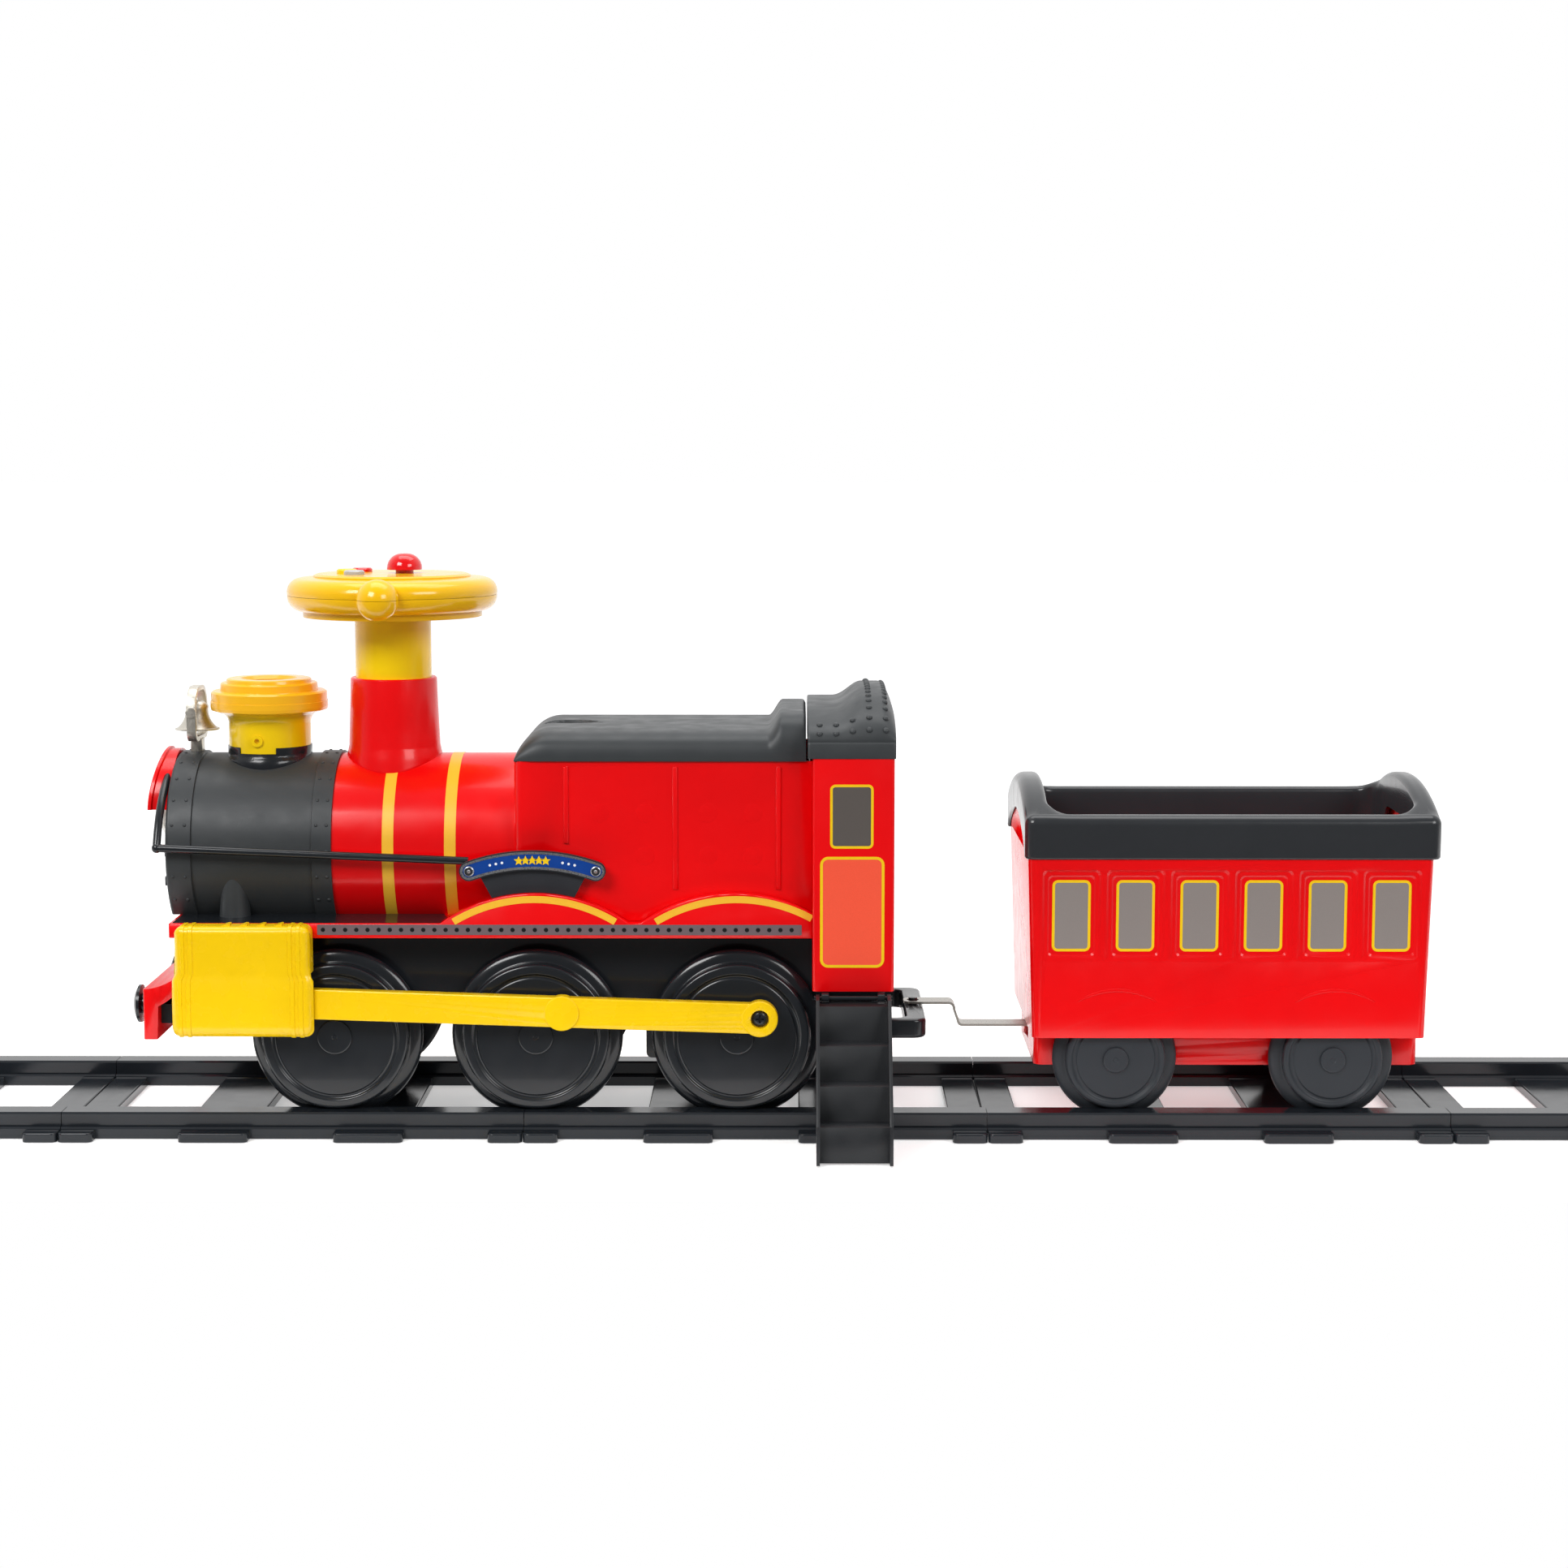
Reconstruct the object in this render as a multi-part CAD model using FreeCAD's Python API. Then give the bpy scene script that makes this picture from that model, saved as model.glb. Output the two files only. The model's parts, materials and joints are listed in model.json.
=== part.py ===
import FreeCAD, Part
import math
import os
from FreeCAD import Vector

# Ride-on electric train set: a battery locomotive, one open carriage and five straight track sections.
# Millimetres. X runs along the track with the locomotive facing -X, Z is up from the floor,
# and the origin is on the floor at the middle of the track. "Left" is the -Y side.

# ---- driving dimensions -------------------------------------------------------------------------
SECTION_LENGTH, SECTION_COUNT, SECTION_GAP = 400.0, 5, 0.6
RAIL_Y, RAIL_TOP, RAIL_WIDTH = 103.0, 22.0, 24.0
BASE_WIDTH, BASE_TOP = 34.0, 10.0
SLEEPER_WIDTH, SLEEPER_TOP, SLEEPER_REACH = 60.0, 8.0, 134.0

WHEEL_XS = {"front": -364.0, "middle": -190.0, "rear": -16.0}
WHEEL_Z, WHEEL_RADIUS, FLANGE_RADIUS = 86.0, 63.7, 74.5
AXLE_RADIUS, RUNNING_CLEARANCE = 5.0, 0.05
FLANGE_INNER, FLANGE_OUTER, WHEEL_FACE = 82.0, 89.0, 104.0

CRANK_X, CRANK_Z = 4.0, 105.6
ROD_FRONT_X, ROD_SLOPE = -430.0, 12.6 / 384.0
ROD_INNER, ROD_OUTER, ROD_HEIGHT, ROD_EYE = 112.0, 122.0, 26.0, 15.5

GEAR_TEETH, PINION_TEETH, GEAR_MODULE = 36, 12, 1.5
GEAR_Y, GEAR_WIDTH = 12.0, 8.0

COVER_FRONT, COVER_REAR, COVER_INNER, COVER_OUTER = -497.0, -381.0, 106.4, 127.0
CYLINDER_Z, CYLINDER_RADIUS = 116.5, 26.5

CHASSIS_FRONT, CHASSIS_REAR, CHASSIS_HALF, CHASSIS_BOTTOM = -480.0, 112.0, 72.0, 112.0
BOARD_FRONT, BOARD_REAR, BOARD_HALF, BOARD_BOTTOM, BOARD_TOP = -505.0, 48.9, 106.0, 173.0, 186.0
BEAM_FRONT = -530.0
SPLASHER_XS, SPLASHER_RADIUS, SPLASHER_TOP = (-190.0, -18.0), 139.0, 212.0

BOILER_Z, BOILER_RADIUS, SHELL = 242.0, 80.0, 3.0
SMOKEBOX_FRONT, SMOKEBOX_REAR, BAND_RADIUS = -512.0, -368.0, 82.0
LAMP_Z, HOOD_RADIUS, HOOD_FRONT = 277.0, 49.0, -530.0
RAIL_ROD, RAIL_ROD_X, RAIL_ROD_Y, RAIL_ROD_Z, RAIL_ARCH_TOP = 3.5, -517.0, 90.0, 249.0, 312.0
CHIMNEY_X, COLLAR_TOP, CHIMNEY_SEAM = -433.0, 329.5, 369.3
BELL_X, BELL_PIVOT_Z = -497.6, 360.4
STEER_X, COLUMN_RADIUS, COLLAR_STEER_TOP, WHEEL_SEAM_Z = -322.0, 33.5, 390.0, 463.0

SADDLE_FRONT, SADDLE_REAR, SADDLE_HALF, SADDLE_TOP = -208.0, 48.9, 92.0, 325.0
SEAT_REAR, SEAT_HALF, SEAT_TOP, SEAT_HUMP = 43.5, 94.0, 350.0, 365.0
CAB_FRONT, CAB_REAR, CAB_HALF, CAB_BOTTOM, CAB_TOP = 49.0, 119.0, 118.0, 129.0, 330.0
STEP_X0, STEP_X1, STEP_PIVOT_T, STEP_PIVOT_Z = 52.0, 116.0, 121.5, 124.0
STEP_RISE, STEP_RUN, STEP_COUNT, STEP_PIN = 29.8, 22.0, 4, 2.0

PLATE_X, PLATE_BOLT_REACH, PLATE_BOLT_Z, PLATE_MID_Z, PLATE_HALF_HEIGHT = -191.5, 54.5, 231.0, 240.5, 8.5
TOW_PEG_X, TOW_BOTTOM, TOW_TOP, PEG_TOP = 140.0, 79.0, 96.0, 101.0

CAR_TOP, CAR_BOTTOM, CAR_WALL = 245.0, 86.0, 4.0
CAR_X_TOP, CAR_X_BOTTOM, CAR_Y_TOP, CAR_Y_BOTTOM = (234.0, 582.0), (239.0, 578.0), 108.0, 105.0
RIM_X, RIM_Y, RIM_TOP, RIM_ARCH = (231.0, 588.0), 110.0, 280.0, 304.0
RIM_MOUTH_X, RIM_MOUTH_Y = (252.0, 569.0), 94.0
CAR_FRAME_X, CAR_FRAME_Y, CAR_FRAME_BOTTOM = (243.0, 578.0), 75.0, 56.0
CAR_WHEEL_XS = {"carriage_front": 312.0, "carriage_rear": 500.0}
CAR_WHEEL_Z, CAR_WHEEL_RADIUS, CAR_FLANGE_RADIUS, CAR_AXLE, CAR_WHEEL_FACE = 65.5, 43.2, 54.0, 4.0, 100.0
WELL_RADIUS, WINDOW_PITCH, WINDOW_COUNT, WINDOW_X = 60.0, 55.0, 6, 271.5
HITCH_PIVOT_X, HITCH_Z, HITCH_THICK, HITCH_HALF = 252.0, 77.0, 2.0, 11.0

AXES = {"x": Vector(1, 0, 0), "y": Vector(0, 1, 0), "z": Vector(0, 0, 1)}


# ---- small tools --------------------------------------------------------------------------------
def box(x0, x1, y0, y1, z0, z1):
    return Part.makeBox(x1 - x0, y1 - y0, z1 - z0, Vector(x0, y0, z0))


def rod(radius, start, direction, length):
    return Part.makeCylinder(radius, length, Vector(*start), Vector(*direction))


def face_of(points, place):
    """A face from corner points; an entry of two points is an arc's middle and its end."""
    edges, here = [], place(*points[0])
    for step in points[1:] + [points[0]]:
        if isinstance(step[0], tuple):
            middle, end = place(*step[0]), place(*step[1])
            edges.append(Part.Arc(here, middle, end).toShape())
        else:
            end = place(*step)
            if end.distanceToPoint(here) < 1e-6:
                continue
            edges.append(Part.LineSegment(here, end).toShape())
        here = end
    return Part.Face(Part.Wire(edges))


def prism(points, axis, start, end):
    """An outline across one axis, pushed along it: (y, z) for x, (x, z) for y and (x, y) for z."""
    places = {
        "x": lambda u, v: Vector(start, u, v),
        "y": lambda u, v: Vector(u, start, v),
        "z": lambda u, v: Vector(u, v, start),
    }
    return face_of(points, places[axis]).extrude(AXES[axis] * (end - start))


def turned(points, centre, direction=(0, 0, 1)):
    """An outline of (radius, height), turned about a line through centre."""
    solid = face_of(points, lambda r, h: Vector(r, 0, h)).revolve(Vector(0, 0, 0), AXES["z"], 360)
    turn = FreeCAD.Rotation(AXES["z"], Vector(*direction))
    return solid.transformGeometry(FreeCAD.Placement(Vector(*centre), turn).toMatrix())


def joined(first, *others):
    return first.fuse(list(others)).removeSplitter()


def less(shape, *tools):
    return shape.cut(list(tools))


def mirrored(shape):
    return shape.mirror(Vector(0, 0, 0), AXES["y"])


def group(shapes):
    return Part.makeCompound([solid for shape in shapes for solid in shape.Solids])


def pair(shape):
    return group([shape, mirrored(shape)])


def along(axis, accept=lambda middle: True):
    """Picks the straight edges along an axis whose middle point is accepted."""

    def chosen(edge):
        if not isinstance(edge.Curve, (Part.Line, Part.LineSegment)):
            return False
        direction = edge.tangentAt(edge.FirstParameter)
        return abs(direction.dot(AXES[axis])) > 0.999 and accept(edge.CenterOfMass)

    return chosen


def filleted(shape, radius, chosen):
    return shape.makeFillet(radius, [edge for edge in shape.Edges if chosen(edge)])


def boiler_bar(radius, x0, x1):
    return rod(radius, (x0, 0, BOILER_Z), (1, 0, 0), x1 - x0)


# ---- track --------------------------------------------------------------------------------------
def track_section(index):
    x0 = (index - SECTION_COUNT / 2) * SECTION_LENGTH + SECTION_GAP / 2
    x1 = x0 + SECTION_LENGTH - SECTION_GAP
    end_block, tongue, slack = 24.0, 16.0, 0.3
    half_base, half_rail, soft = BASE_WIDTH / 2, RAIL_WIDTH / 2, 1.6
    profile = [
        (half_base, 0), (half_base, BASE_TOP - soft), (half_base - soft, BASE_TOP), (half_rail, BASE_TOP),
        (half_rail, RAIL_TOP - soft), (half_rail - soft, RAIL_TOP),
    ]
    outline = profile + [(-u, v) for u, v in reversed(profile)]
    rails = []
    for side in (-1, 1):
        rail = prism([(side * RAIL_Y + u, v) for u, v in outline], "x", x0, x1)
        hollow = box(x0 + end_block, x1 - end_block, side * RAIL_Y - 8, side * RAIL_Y + 8, -1, RAIL_TOP - 4)
        rails.append(less(rail, hollow))
    middles = (x0 + SECTION_LENGTH / 3, x0 + SECTION_LENGTH * 2 / 3)
    spans = [(x - SLEEPER_WIDTH / 2, x + SLEEPER_WIDTH / 2) for x in middles]
    spans += [(x0, x0 + SLEEPER_WIDTH / 2), (x1 - SLEEPER_WIDTH / 2, x1)]
    sleepers = []
    for low, high in spans:
        sleeper = box(low, high, -SLEEPER_REACH, SLEEPER_REACH, 0, SLEEPER_TOP)
        sleeper = filleted(sleeper, 5.0, along("z"))
        sleepers.append(filleted(sleeper, 1.5, lambda edge: edge.CenterOfMass.z > SLEEPER_TOP - 0.1))
    section = joined(rails[0], rails[1], *sleepers)
    for end, outward in ((x0, -1), (x1, 1)):
        # each end has a tongue on one rail and a socket on the other, so sections turn end for end
        tongue_y = -outward * RAIL_Y
        reach = (min(end, end + outward * tongue), max(end, end + outward * tongue))
        section = joined(section, box(*reach, tongue_y - 6, tongue_y + 6, 3, 15))
        depth = end - outward * (tongue + 1)
        socket_y = outward * RAIL_Y
        low, high = min(end, depth) - (outward < 0), max(end, depth) + (outward > 0)
        socket = box(low, high, socket_y - 6 - slack, socket_y + 6 + slack, 3 - slack, 15 + slack)
        section = less(section, socket)
    return section


# ---- locomotive running gear --------------------------------------------------------------------
def wheel_outline(tread, flange, hub, ring, axle, inner, face):
    """Half section of a wheel as (radius, distance from the track's centre line)."""
    bore = axle + 0.02
    web = face - 6.0
    lip = flange - 3.5
    return [
        (bore, inner), (hub - 2, inner), (hub - 2, web), (tread - 6, web), (tread - 6, FLANGE_INNER),
        (lip, FLANGE_INNER), ((flange, (FLANGE_INNER + FLANGE_OUTER) / 2), (lip, FLANGE_OUTER)),
        (tread, FLANGE_OUTER + 0.8), (tread, face - 3.0),
        ((tread - 0.9, face - 0.9), (tread - 3, face)),
        (ring + 4, face), (ring + 2.5, face - 2.2), (ring, face - 2.2),
        (ring - 1.5, face - 1.0), (hub, face - 1.0), (hub, face + 0.4),
        (hub - 0.8, face + 1.2), (0, face + 1.2), (0, web), (bore, web),
    ]


def wheel_pair(x, z, *sizes):
    return group([
        turned(wheel_outline(*sizes), (x, 0, z), (0, side, 0)) for side in (-1, 1)
    ])


def loco_wheels(x):
    return wheel_pair(x, WHEEL_Z, WHEEL_RADIUS, FLANGE_RADIUS, 15.0, 52.0, AXLE_RADIUS, 76.0, WHEEL_FACE)


def axle(x, z, radius, face):
    reach = face - 7.0
    return rod(radius, (x, -reach, z), (0, 1, 0), 2 * reach)


def crank_pin():
    """Boss, pin and pan-head screw that hold the side rod to the left rear wheel."""
    face, head = WHEEL_FACE - 1.0, 118.5
    boss = rod(11.0, (CRANK_X, -face, CRANK_Z), (0, -1, 0), ROD_INNER - 0.3 - face)
    pin = rod(6.0, (CRANK_X, -face, CRANK_Z), (0, -1, 0), head - face)
    pan_head = [(0, 0), (7.2, 0), (7.2, 0.8), ((5.6, 2.0), (0, 2.6))]
    screw = turned(pan_head, (CRANK_X, -head, CRANK_Z), (0, -1, 0))
    slot = box(CRANK_X - 3.5, CRANK_X + 3.5, -head - 3, -head - 1.2, CRANK_Z - 0.7, CRANK_Z + 0.7)
    cross = box(CRANK_X - 0.7, CRANK_X + 0.7, -head - 3, -head - 1.2, CRANK_Z - 3.5, CRANK_Z + 3.5)
    return less(joined(boss, pin, screw), slot, cross)


def side_rod():
    """Left side rod, from the rear crank pin forward into the cylinder cover."""
    half = ROD_HEIGHT / 2

    def line(x):
        return CRANK_Z + (CRANK_X - x) * ROD_SLOPE

    bar = prism([
        (CRANK_X, CRANK_Z - half), (CRANK_X, CRANK_Z + half),
        (ROD_FRONT_X, line(ROD_FRONT_X) + half), (ROD_FRONT_X, line(ROD_FRONT_X) - half),
    ], "y", -ROD_OUTER, -ROD_INNER)
    bar = filleted(bar, 1.2, lambda edge: edge.CenterOfMass.y < -ROD_OUTER + 0.1 and edge.Length > 100)

    def button(x, z, radius, proud):
        face = ROD_OUTER + proud - ROD_INNER
        return turned([(0, 0), (radius, 0), (radius, face - 0.8), (radius - 0.8, face), (0, face)],
                      (x, -ROD_INNER, z), (0, -1, 0))

    boss_x = -166.0
    eye, boss = button(CRANK_X, CRANK_Z, ROD_EYE, 1.0), button(boss_x, line(boss_x) - 0.6, 15.0, 1.5)
    bore = rod(6.06, (CRANK_X, -ROD_INNER + 1, CRANK_Z), (0, -1, 0), 20)
    recess = rod(8.0, (CRANK_X, -118.3, CRANK_Z), (0, -1, 0), 20)
    return less(joined(bar, eye, boss), bore, recess)


def gear(teeth, x, z, phase):
    """A spur gear with straight-sided teeth, thinned for running backlash."""
    pitch = GEAR_MODULE * teeth / 2
    tip, root = pitch + 0.85 * GEAR_MODULE, pitch - 1.2 * GEAR_MODULE
    step = 2 * math.pi / teeth
    corners = []
    for tooth in range(teeth):
        middle = phase + tooth * step
        for radius, share in ((root, -0.33), (tip, -0.11), (tip, 0.11), (root, 0.33)):
            angle = middle + share * step
            corners.append((x + radius * math.cos(angle), z + radius * math.sin(angle)))
    return prism(corners, "y", GEAR_Y, GEAR_Y + GEAR_WIDTH)


PINION_X = WHEEL_XS["rear"] - GEAR_MODULE * (GEAR_TEETH + PINION_TEETH) / 2


def drive_gear():
    x = WHEEL_XS["rear"]
    blank = gear(GEAR_TEETH, x, WHEEL_Z, math.pi)
    hub = rod(10.0, (x, GEAR_Y - 4, WHEEL_Z), (0, 1, 0), GEAR_WIDTH + 8)
    return less(joined(blank, hub), rod(AXLE_RADIUS + 0.02, (x, 0, WHEEL_Z), (0, 1, 0), 40))


def motor_pinion():
    wheel = gear(PINION_TEETH, PINION_X, WHEEL_Z, math.pi / PINION_TEETH)
    return joined(wheel, rod(2.0, (PINION_X, -24, WHEEL_Z), (0, 1, 0), GEAR_Y + GEAR_WIDTH + 24))


def motor():
    can = rod(17.0, (PINION_X, -28, WHEEL_Z), (0, 1, 0), 34)
    nose = rod(7.0, (PINION_X, 6, WHEEL_Z), (0, 1, 0), 3)
    return less(joined(can, nose), rod(2.06, (PINION_X, -26, WHEEL_Z), (0, 1, 0), 60))


def gearbox():
    shell = filleted(box(-98, 16, -34, 34, 53, CHASSIS_BOTTOM), 5.0, along("y", lambda m: m.z < 60))
    inside = box(-95, 13, -31, 31, 56, CHASSIS_BOTTOM + 1)
    hole = rod(AXLE_RADIUS + 0.5, (WHEEL_XS["rear"], -60, WHEEL_Z), (0, 1, 0), 120)
    return less(shell, inside, hole)


def chassis():
    """Inverted tray that carries the axle bearings, with arms out to the cylinder covers."""
    top = BOARD_TOP - SHELL
    frame = box(CHASSIS_FRONT, CHASSIS_REAR, -CHASSIS_HALF, CHASSIS_HALF, CHASSIS_BOTTOM, top)
    inside = box(CHASSIS_FRONT + 4, CHASSIS_REAR - 4, -CHASSIS_HALF + 4, CHASSIS_HALF - 4,
                 CHASSIS_BOTTOM - 1, top - 4)
    pieces = []
    for side in (-1, 1):
        for x in WHEEL_XS.values():
            ys = sorted((side * 60, side * CHASSIS_HALF))
            bracket = box(x - 16, x + 16, *ys, WHEEL_Z - 14, CHASSIS_BOTTOM + 30)
            pieces.append(filleted(bracket, 10.0, along("y", lambda m: m.z < WHEEL_Z)))
        ys = sorted((side * (CHASSIS_HALF - 2), side * (COVER_INNER - SHELL)))
        pieces.append(box(CHASSIS_FRONT, -446, *ys, CHASSIS_BOTTOM, BOARD_BOTTOM - 1))
    nose = box(-516.9, CHASSIS_FRONT + 6, -88, 88, 95, CHASSIS_BOTTOM - 0.2)
    riser = box(CHASSIS_FRONT - 1, CHASSIS_FRONT + 6, -70, 70, CHASSIS_BOTTOM - 2, CHASSIS_BOTTOM + 20)
    cross = [box(x - 2, x + 2, -CHASSIS_HALF + 2, CHASSIS_HALF - 2, CHASSIS_BOTTOM, top - 2)
             for x in (-277.0, -103.0, 20.0)]
    bores = [rod(AXLE_RADIUS + RUNNING_CLEARANCE, (x, -90, WHEEL_Z), (0, 1, 0), 180)
             for x in WHEEL_XS.values()]
    return less(joined(less(frame, inside), nose, riser, *pieces, *cross), *bores)


def cylinder_cover():
    """Left cylinder cover: a valve chest over a round cylinder, open inboard, with a slot for the rod."""
    waist, floor = CYLINDER_Z + CYLINDER_RADIUS, CYLINDER_Z - CYLINDER_RADIUS
    bulge = COVER_OUTER + 3.0

    def section(grow, inner):
        outer, wide, top, base, soft = COVER_OUTER + grow, bulge + grow, BOARD_TOP + grow, floor - grow, 6.0
        return [
            (-inner, base), (-wide + 9, base), ((-wide + 3.2, base + 3.4), (-wide + 0.6, base + 11)),
            ((-wide, CYLINDER_Z), (-outer, waist)), (-outer, top - soft),
            ((-outer + soft * 0.293, top - soft * 0.293), (-outer + soft, top)), (-inner, top),
        ]

    def barrel_section(inner):
        return section(0, inner)[:4] + [(-inner, waist)]

    body = prism(section(0, COVER_INNER), "x", COVER_FRONT, COVER_REAR)
    bands = [prism(section(0.8, COVER_INNER), "x", x, x + 3.0) for x in (-491.0, -484.0, -399.0, -392.0)]
    barrel = prism(barrel_section(COVER_INNER), "x", COVER_FRONT - 2.5, COVER_REAR + 3.0)
    inside = prism(section(-SHELL, COVER_INNER - 5), "x", COVER_FRONT + SHELL, COVER_REAR - SHELL)
    flange = box(COVER_FRONT, -446, -COVER_INNER, -COVER_INNER + SHELL, 100, BOARD_BOTTOM - 1)
    low, high = BOARD_TOP - 1, BOARD_TOP + 1.6
    louvres = [prism([(x, low), (x + 9, low), (x + 9, high), (x + 7, high)],
                     "y", -COVER_OUTER + 8, -COVER_INNER - 2) for x in (-459.0, -444.0, -429.0, -414.0)]
    slot = box(-484, COVER_REAR + 5, -ROD_OUTER - 1.6, -ROD_INNER + 1.2, 60, 144)
    shell = less(joined(body, barrel, *bands, *louvres), inside)
    return less(joined(shell, flange), slot)


def buffer_beam():
    """Red front beam with a plate that sweeps up to the footplate."""
    outline = [
        (BEAM_FRONT, 83), (BEAM_FRONT, 127), ((-508, 133), (-484, 158)), (-480, 166), (-480, 148),
        (-486, 141), ((-502, 122), (-517, 112)), (-518, 83),
    ]
    return filleted(prism(outline, "y", -100, 100), 2.0, along("z", lambda m: m.x < BEAM_FRONT + 5))


def buffer():
    """Left buffer: a short shank with a domed head."""
    domed = [(0, 0), (9, 0), (9, 5), (16.5, 6), (16.5, 8.5), ((9, 11.9), (0, 13))]
    return turned(domed, (BEAM_FRONT, -75, 110), (-1, 0, 0))


def footplate():
    plate = box(BOARD_FRONT, BOARD_REAR, -BOARD_HALF, BOARD_HALF, BOARD_BOTTOM, BOARD_TOP)
    inside = box(BOARD_FRONT + SHELL, BOARD_REAR - SHELL, -BOARD_HALF + SHELL, BOARD_HALF - SHELL,
                 BOARD_BOTTOM - 1, BOARD_TOP - SHELL)
    reach = CHASSIS_HALF + 0.3
    passage = box(0, BOARD_REAR + 1, -reach, reach, BOARD_BOTTOM - 1, BOARD_TOP - SHELL)
    plate = less(plate, inside, passage)
    splashers = []
    inner = SADDLE_HALF + 0.3
    for x in SPLASHER_XS:
        disc = rod(SPLASHER_RADIUS, (x, 0, SPLASHER_TOP - SPLASHER_RADIUS), (0, 1, 0), BOARD_HALF - inner)
        for start in (-BOARD_HALF, inner):
            raised = disc.translated(Vector(0, start, 0))
            splashers.append(raised.common(box(-400, BOARD_REAR, -120, 120, BOARD_TOP, 250)))
    return joined(plate, *splashers)


# ---- locomotive body ----------------------------------------------------------------------------
BELOW_BOARD = box(-600, 100, -150, 150, 100, BOARD_TOP)


def smokebox():
    length = SMOKEBOX_REAR - SMOKEBOX_FRONT
    outer, inner = BOILER_RADIUS, BOILER_RADIUS - SHELL
    shell = turned([
        (0, 0), (79, 0), ((81.2, 0.8), (BAND_RADIUS, 3)), (BAND_RADIUS, 22), (outer, 22.6),
        (outer, length - 17.6), (BAND_RADIUS, length - 17), (BAND_RADIUS, length),
        (inner, length), (inner, SHELL), (0, SHELL),
    ], (SMOKEBOX_FRONT, 0, BOILER_Z), (1, 0, 0))
    cones = [Part.makeCone(13.5, 9.5, 50, Vector(-455, side * 66, BOARD_TOP)) for side in (-1, 1)]
    cones = [less(cone, boiler_bar(inner, -520, -380)) for cone in cones]
    return less(joined(shell, *cones), BELOW_BOARD)


def smokebox_door():
    dished = [(0, 0), (62, 0), (60, 2.2), (56, 3.6), (0, 5.6)]
    door = turned(dished, (SMOKEBOX_FRONT, 0, BOILER_Z), (-1, 0, 0))
    straps = [box(-519, SMOKEBOX_FRONT, -50, 20, z - 4, z + 4) for z in (214.0, 240.0)]
    door = joined(door, *[strap.common(boiler_bar(60, -530, -500)) for strap in straps])
    hood = rod(HOOD_RADIUS + 0.3, (-540, 0, LAMP_Z), (1, 0, 0), 40)
    under_hood = less(hood, rod(HOOD_RADIUS - 3.8, (-545, 0, LAMP_Z), (1, 0, 0), 50)).common(
        box(-540, -500, -60, 60, LAMP_Z - 0.3, 340))
    return less(door, rod(30.2, (-540, 0, LAMP_Z), (1, 0, 0), 40), under_hood, BELOW_BOARD)


def lamp_hood():
    length = SMOKEBOX_FRONT - HOOD_FRONT
    ring = turned([
        (HOOD_RADIUS - 3.5, 0.05), (HOOD_RADIUS, 0.05), (HOOD_RADIUS, length), (HOOD_RADIUS + 2, length),
        (HOOD_RADIUS + 2, length + 3), (HOOD_RADIUS - 3.5, length + 3),
    ], (SMOKEBOX_FRONT, 0, LAMP_Z), (-1, 0, 0))
    half = ring.common(box(-560, -500, -80, 80, LAMP_Z, 340))
    return less(half, rail_arch(RAIL_ROD + 0.5))


def headlamp():
    """Lamp bowl and, as a second solid, its domed lens."""
    bowl = [(0, 0), (30, 0), (30, 12), (28, 15), (26.2, 15), (26.2, 4), (0, 4)]
    lens = [(0, 4.2), (25.8, 4.2), (25.8, 12), ((14, 15.5), (0, 16.5))]
    return group([turned(outline, (SMOKEBOX_FRONT, 0, LAMP_Z), (-1, 0, 0)) for outline in (bowl, lens)])


def rail_arch(radius):
    """The handrail's arch in front of the smokebox, through both side corners and its top."""
    rise = RAIL_ARCH_TOP - RAIL_ROD_Z
    bend = (RAIL_ROD_Y ** 2 + rise ** 2) / (2 * rise)
    centre = Vector(RAIL_ROD_X, 0, RAIL_ARCH_TOP - bend)
    half_angle = math.degrees(math.asin(RAIL_ROD_Y / bend))
    top = Part.Circle(Vector(RAIL_ROD_X, 0, RAIL_ARCH_TOP), AXES["y"], radius)
    start = Part.Face(Part.Wire(top.toShape())).rotated(centre, AXES["x"], half_angle)
    return start.revolve(centre, AXES["x"], -2 * half_angle)


def handrail():
    rear = Vector(-248, -RAIL_ROD_Y, 238)
    corner = Vector(RAIL_ROD_X, -RAIL_ROD_Y, RAIL_ROD_Z)
    run = corner - rear
    side = Part.makeCylinder(RAIL_ROD, run.Length, rear, run)
    knob = Part.makeSphere(RAIL_ROD + 0.8, corner)
    foot = rod(2.4, (-500, -BAND_RADIUS, 248.3), (0, -1, 0), RAIL_ROD_Y - BAND_RADIUS)
    left = joined(side, knob, foot)
    return joined(rail_arch(RAIL_ROD), left, mirrored(left))


def boiler_shell():
    tube = less(boiler_bar(BOILER_RADIUS, SMOKEBOX_REAR, SADDLE_FRONT),
                boiler_bar(BOILER_RADIUS - SHELL, SMOKEBOX_REAR - 1, SADDLE_FRONT + 1))
    hole = rod(COLUMN_RADIUS + 0.5, (STEER_X, 0, 280), (0, 0, 1), 80)
    return less(tube, hole, BELOW_BOARD)


def steering_collar():
    bore = COLUMN_RADIUS + 0.08
    height = COLLAR_STEER_TOP - 300
    collar = turned([
        (bore, 0), (bore, height), (37, height), (38, height - 1), (39, 60), (40.3, 30), (42.5, 20), (46, 0),
    ], (STEER_X, 0, 300))
    return less(collar, boiler_bar(BOILER_RADIUS + 0.05, -400, -240))


def steering_column():
    tube = [(29, 0), (COLUMN_RADIUS, 0), (COLUMN_RADIUS, 144), (29, 144)]
    return turned(tube, (STEER_X, 0, 300))


def knob_ball(keep_low, keep_high):
    ball = Part.makeSphere(18, Vector(STEER_X, -95, WHEEL_SEAM_Z))
    hub = rod(86, (STEER_X, 0, 440), (0, 0, 1), 60)
    return less(ball, hub).common(box(-360, -280, -120, -70, keep_low, keep_high))


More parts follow.
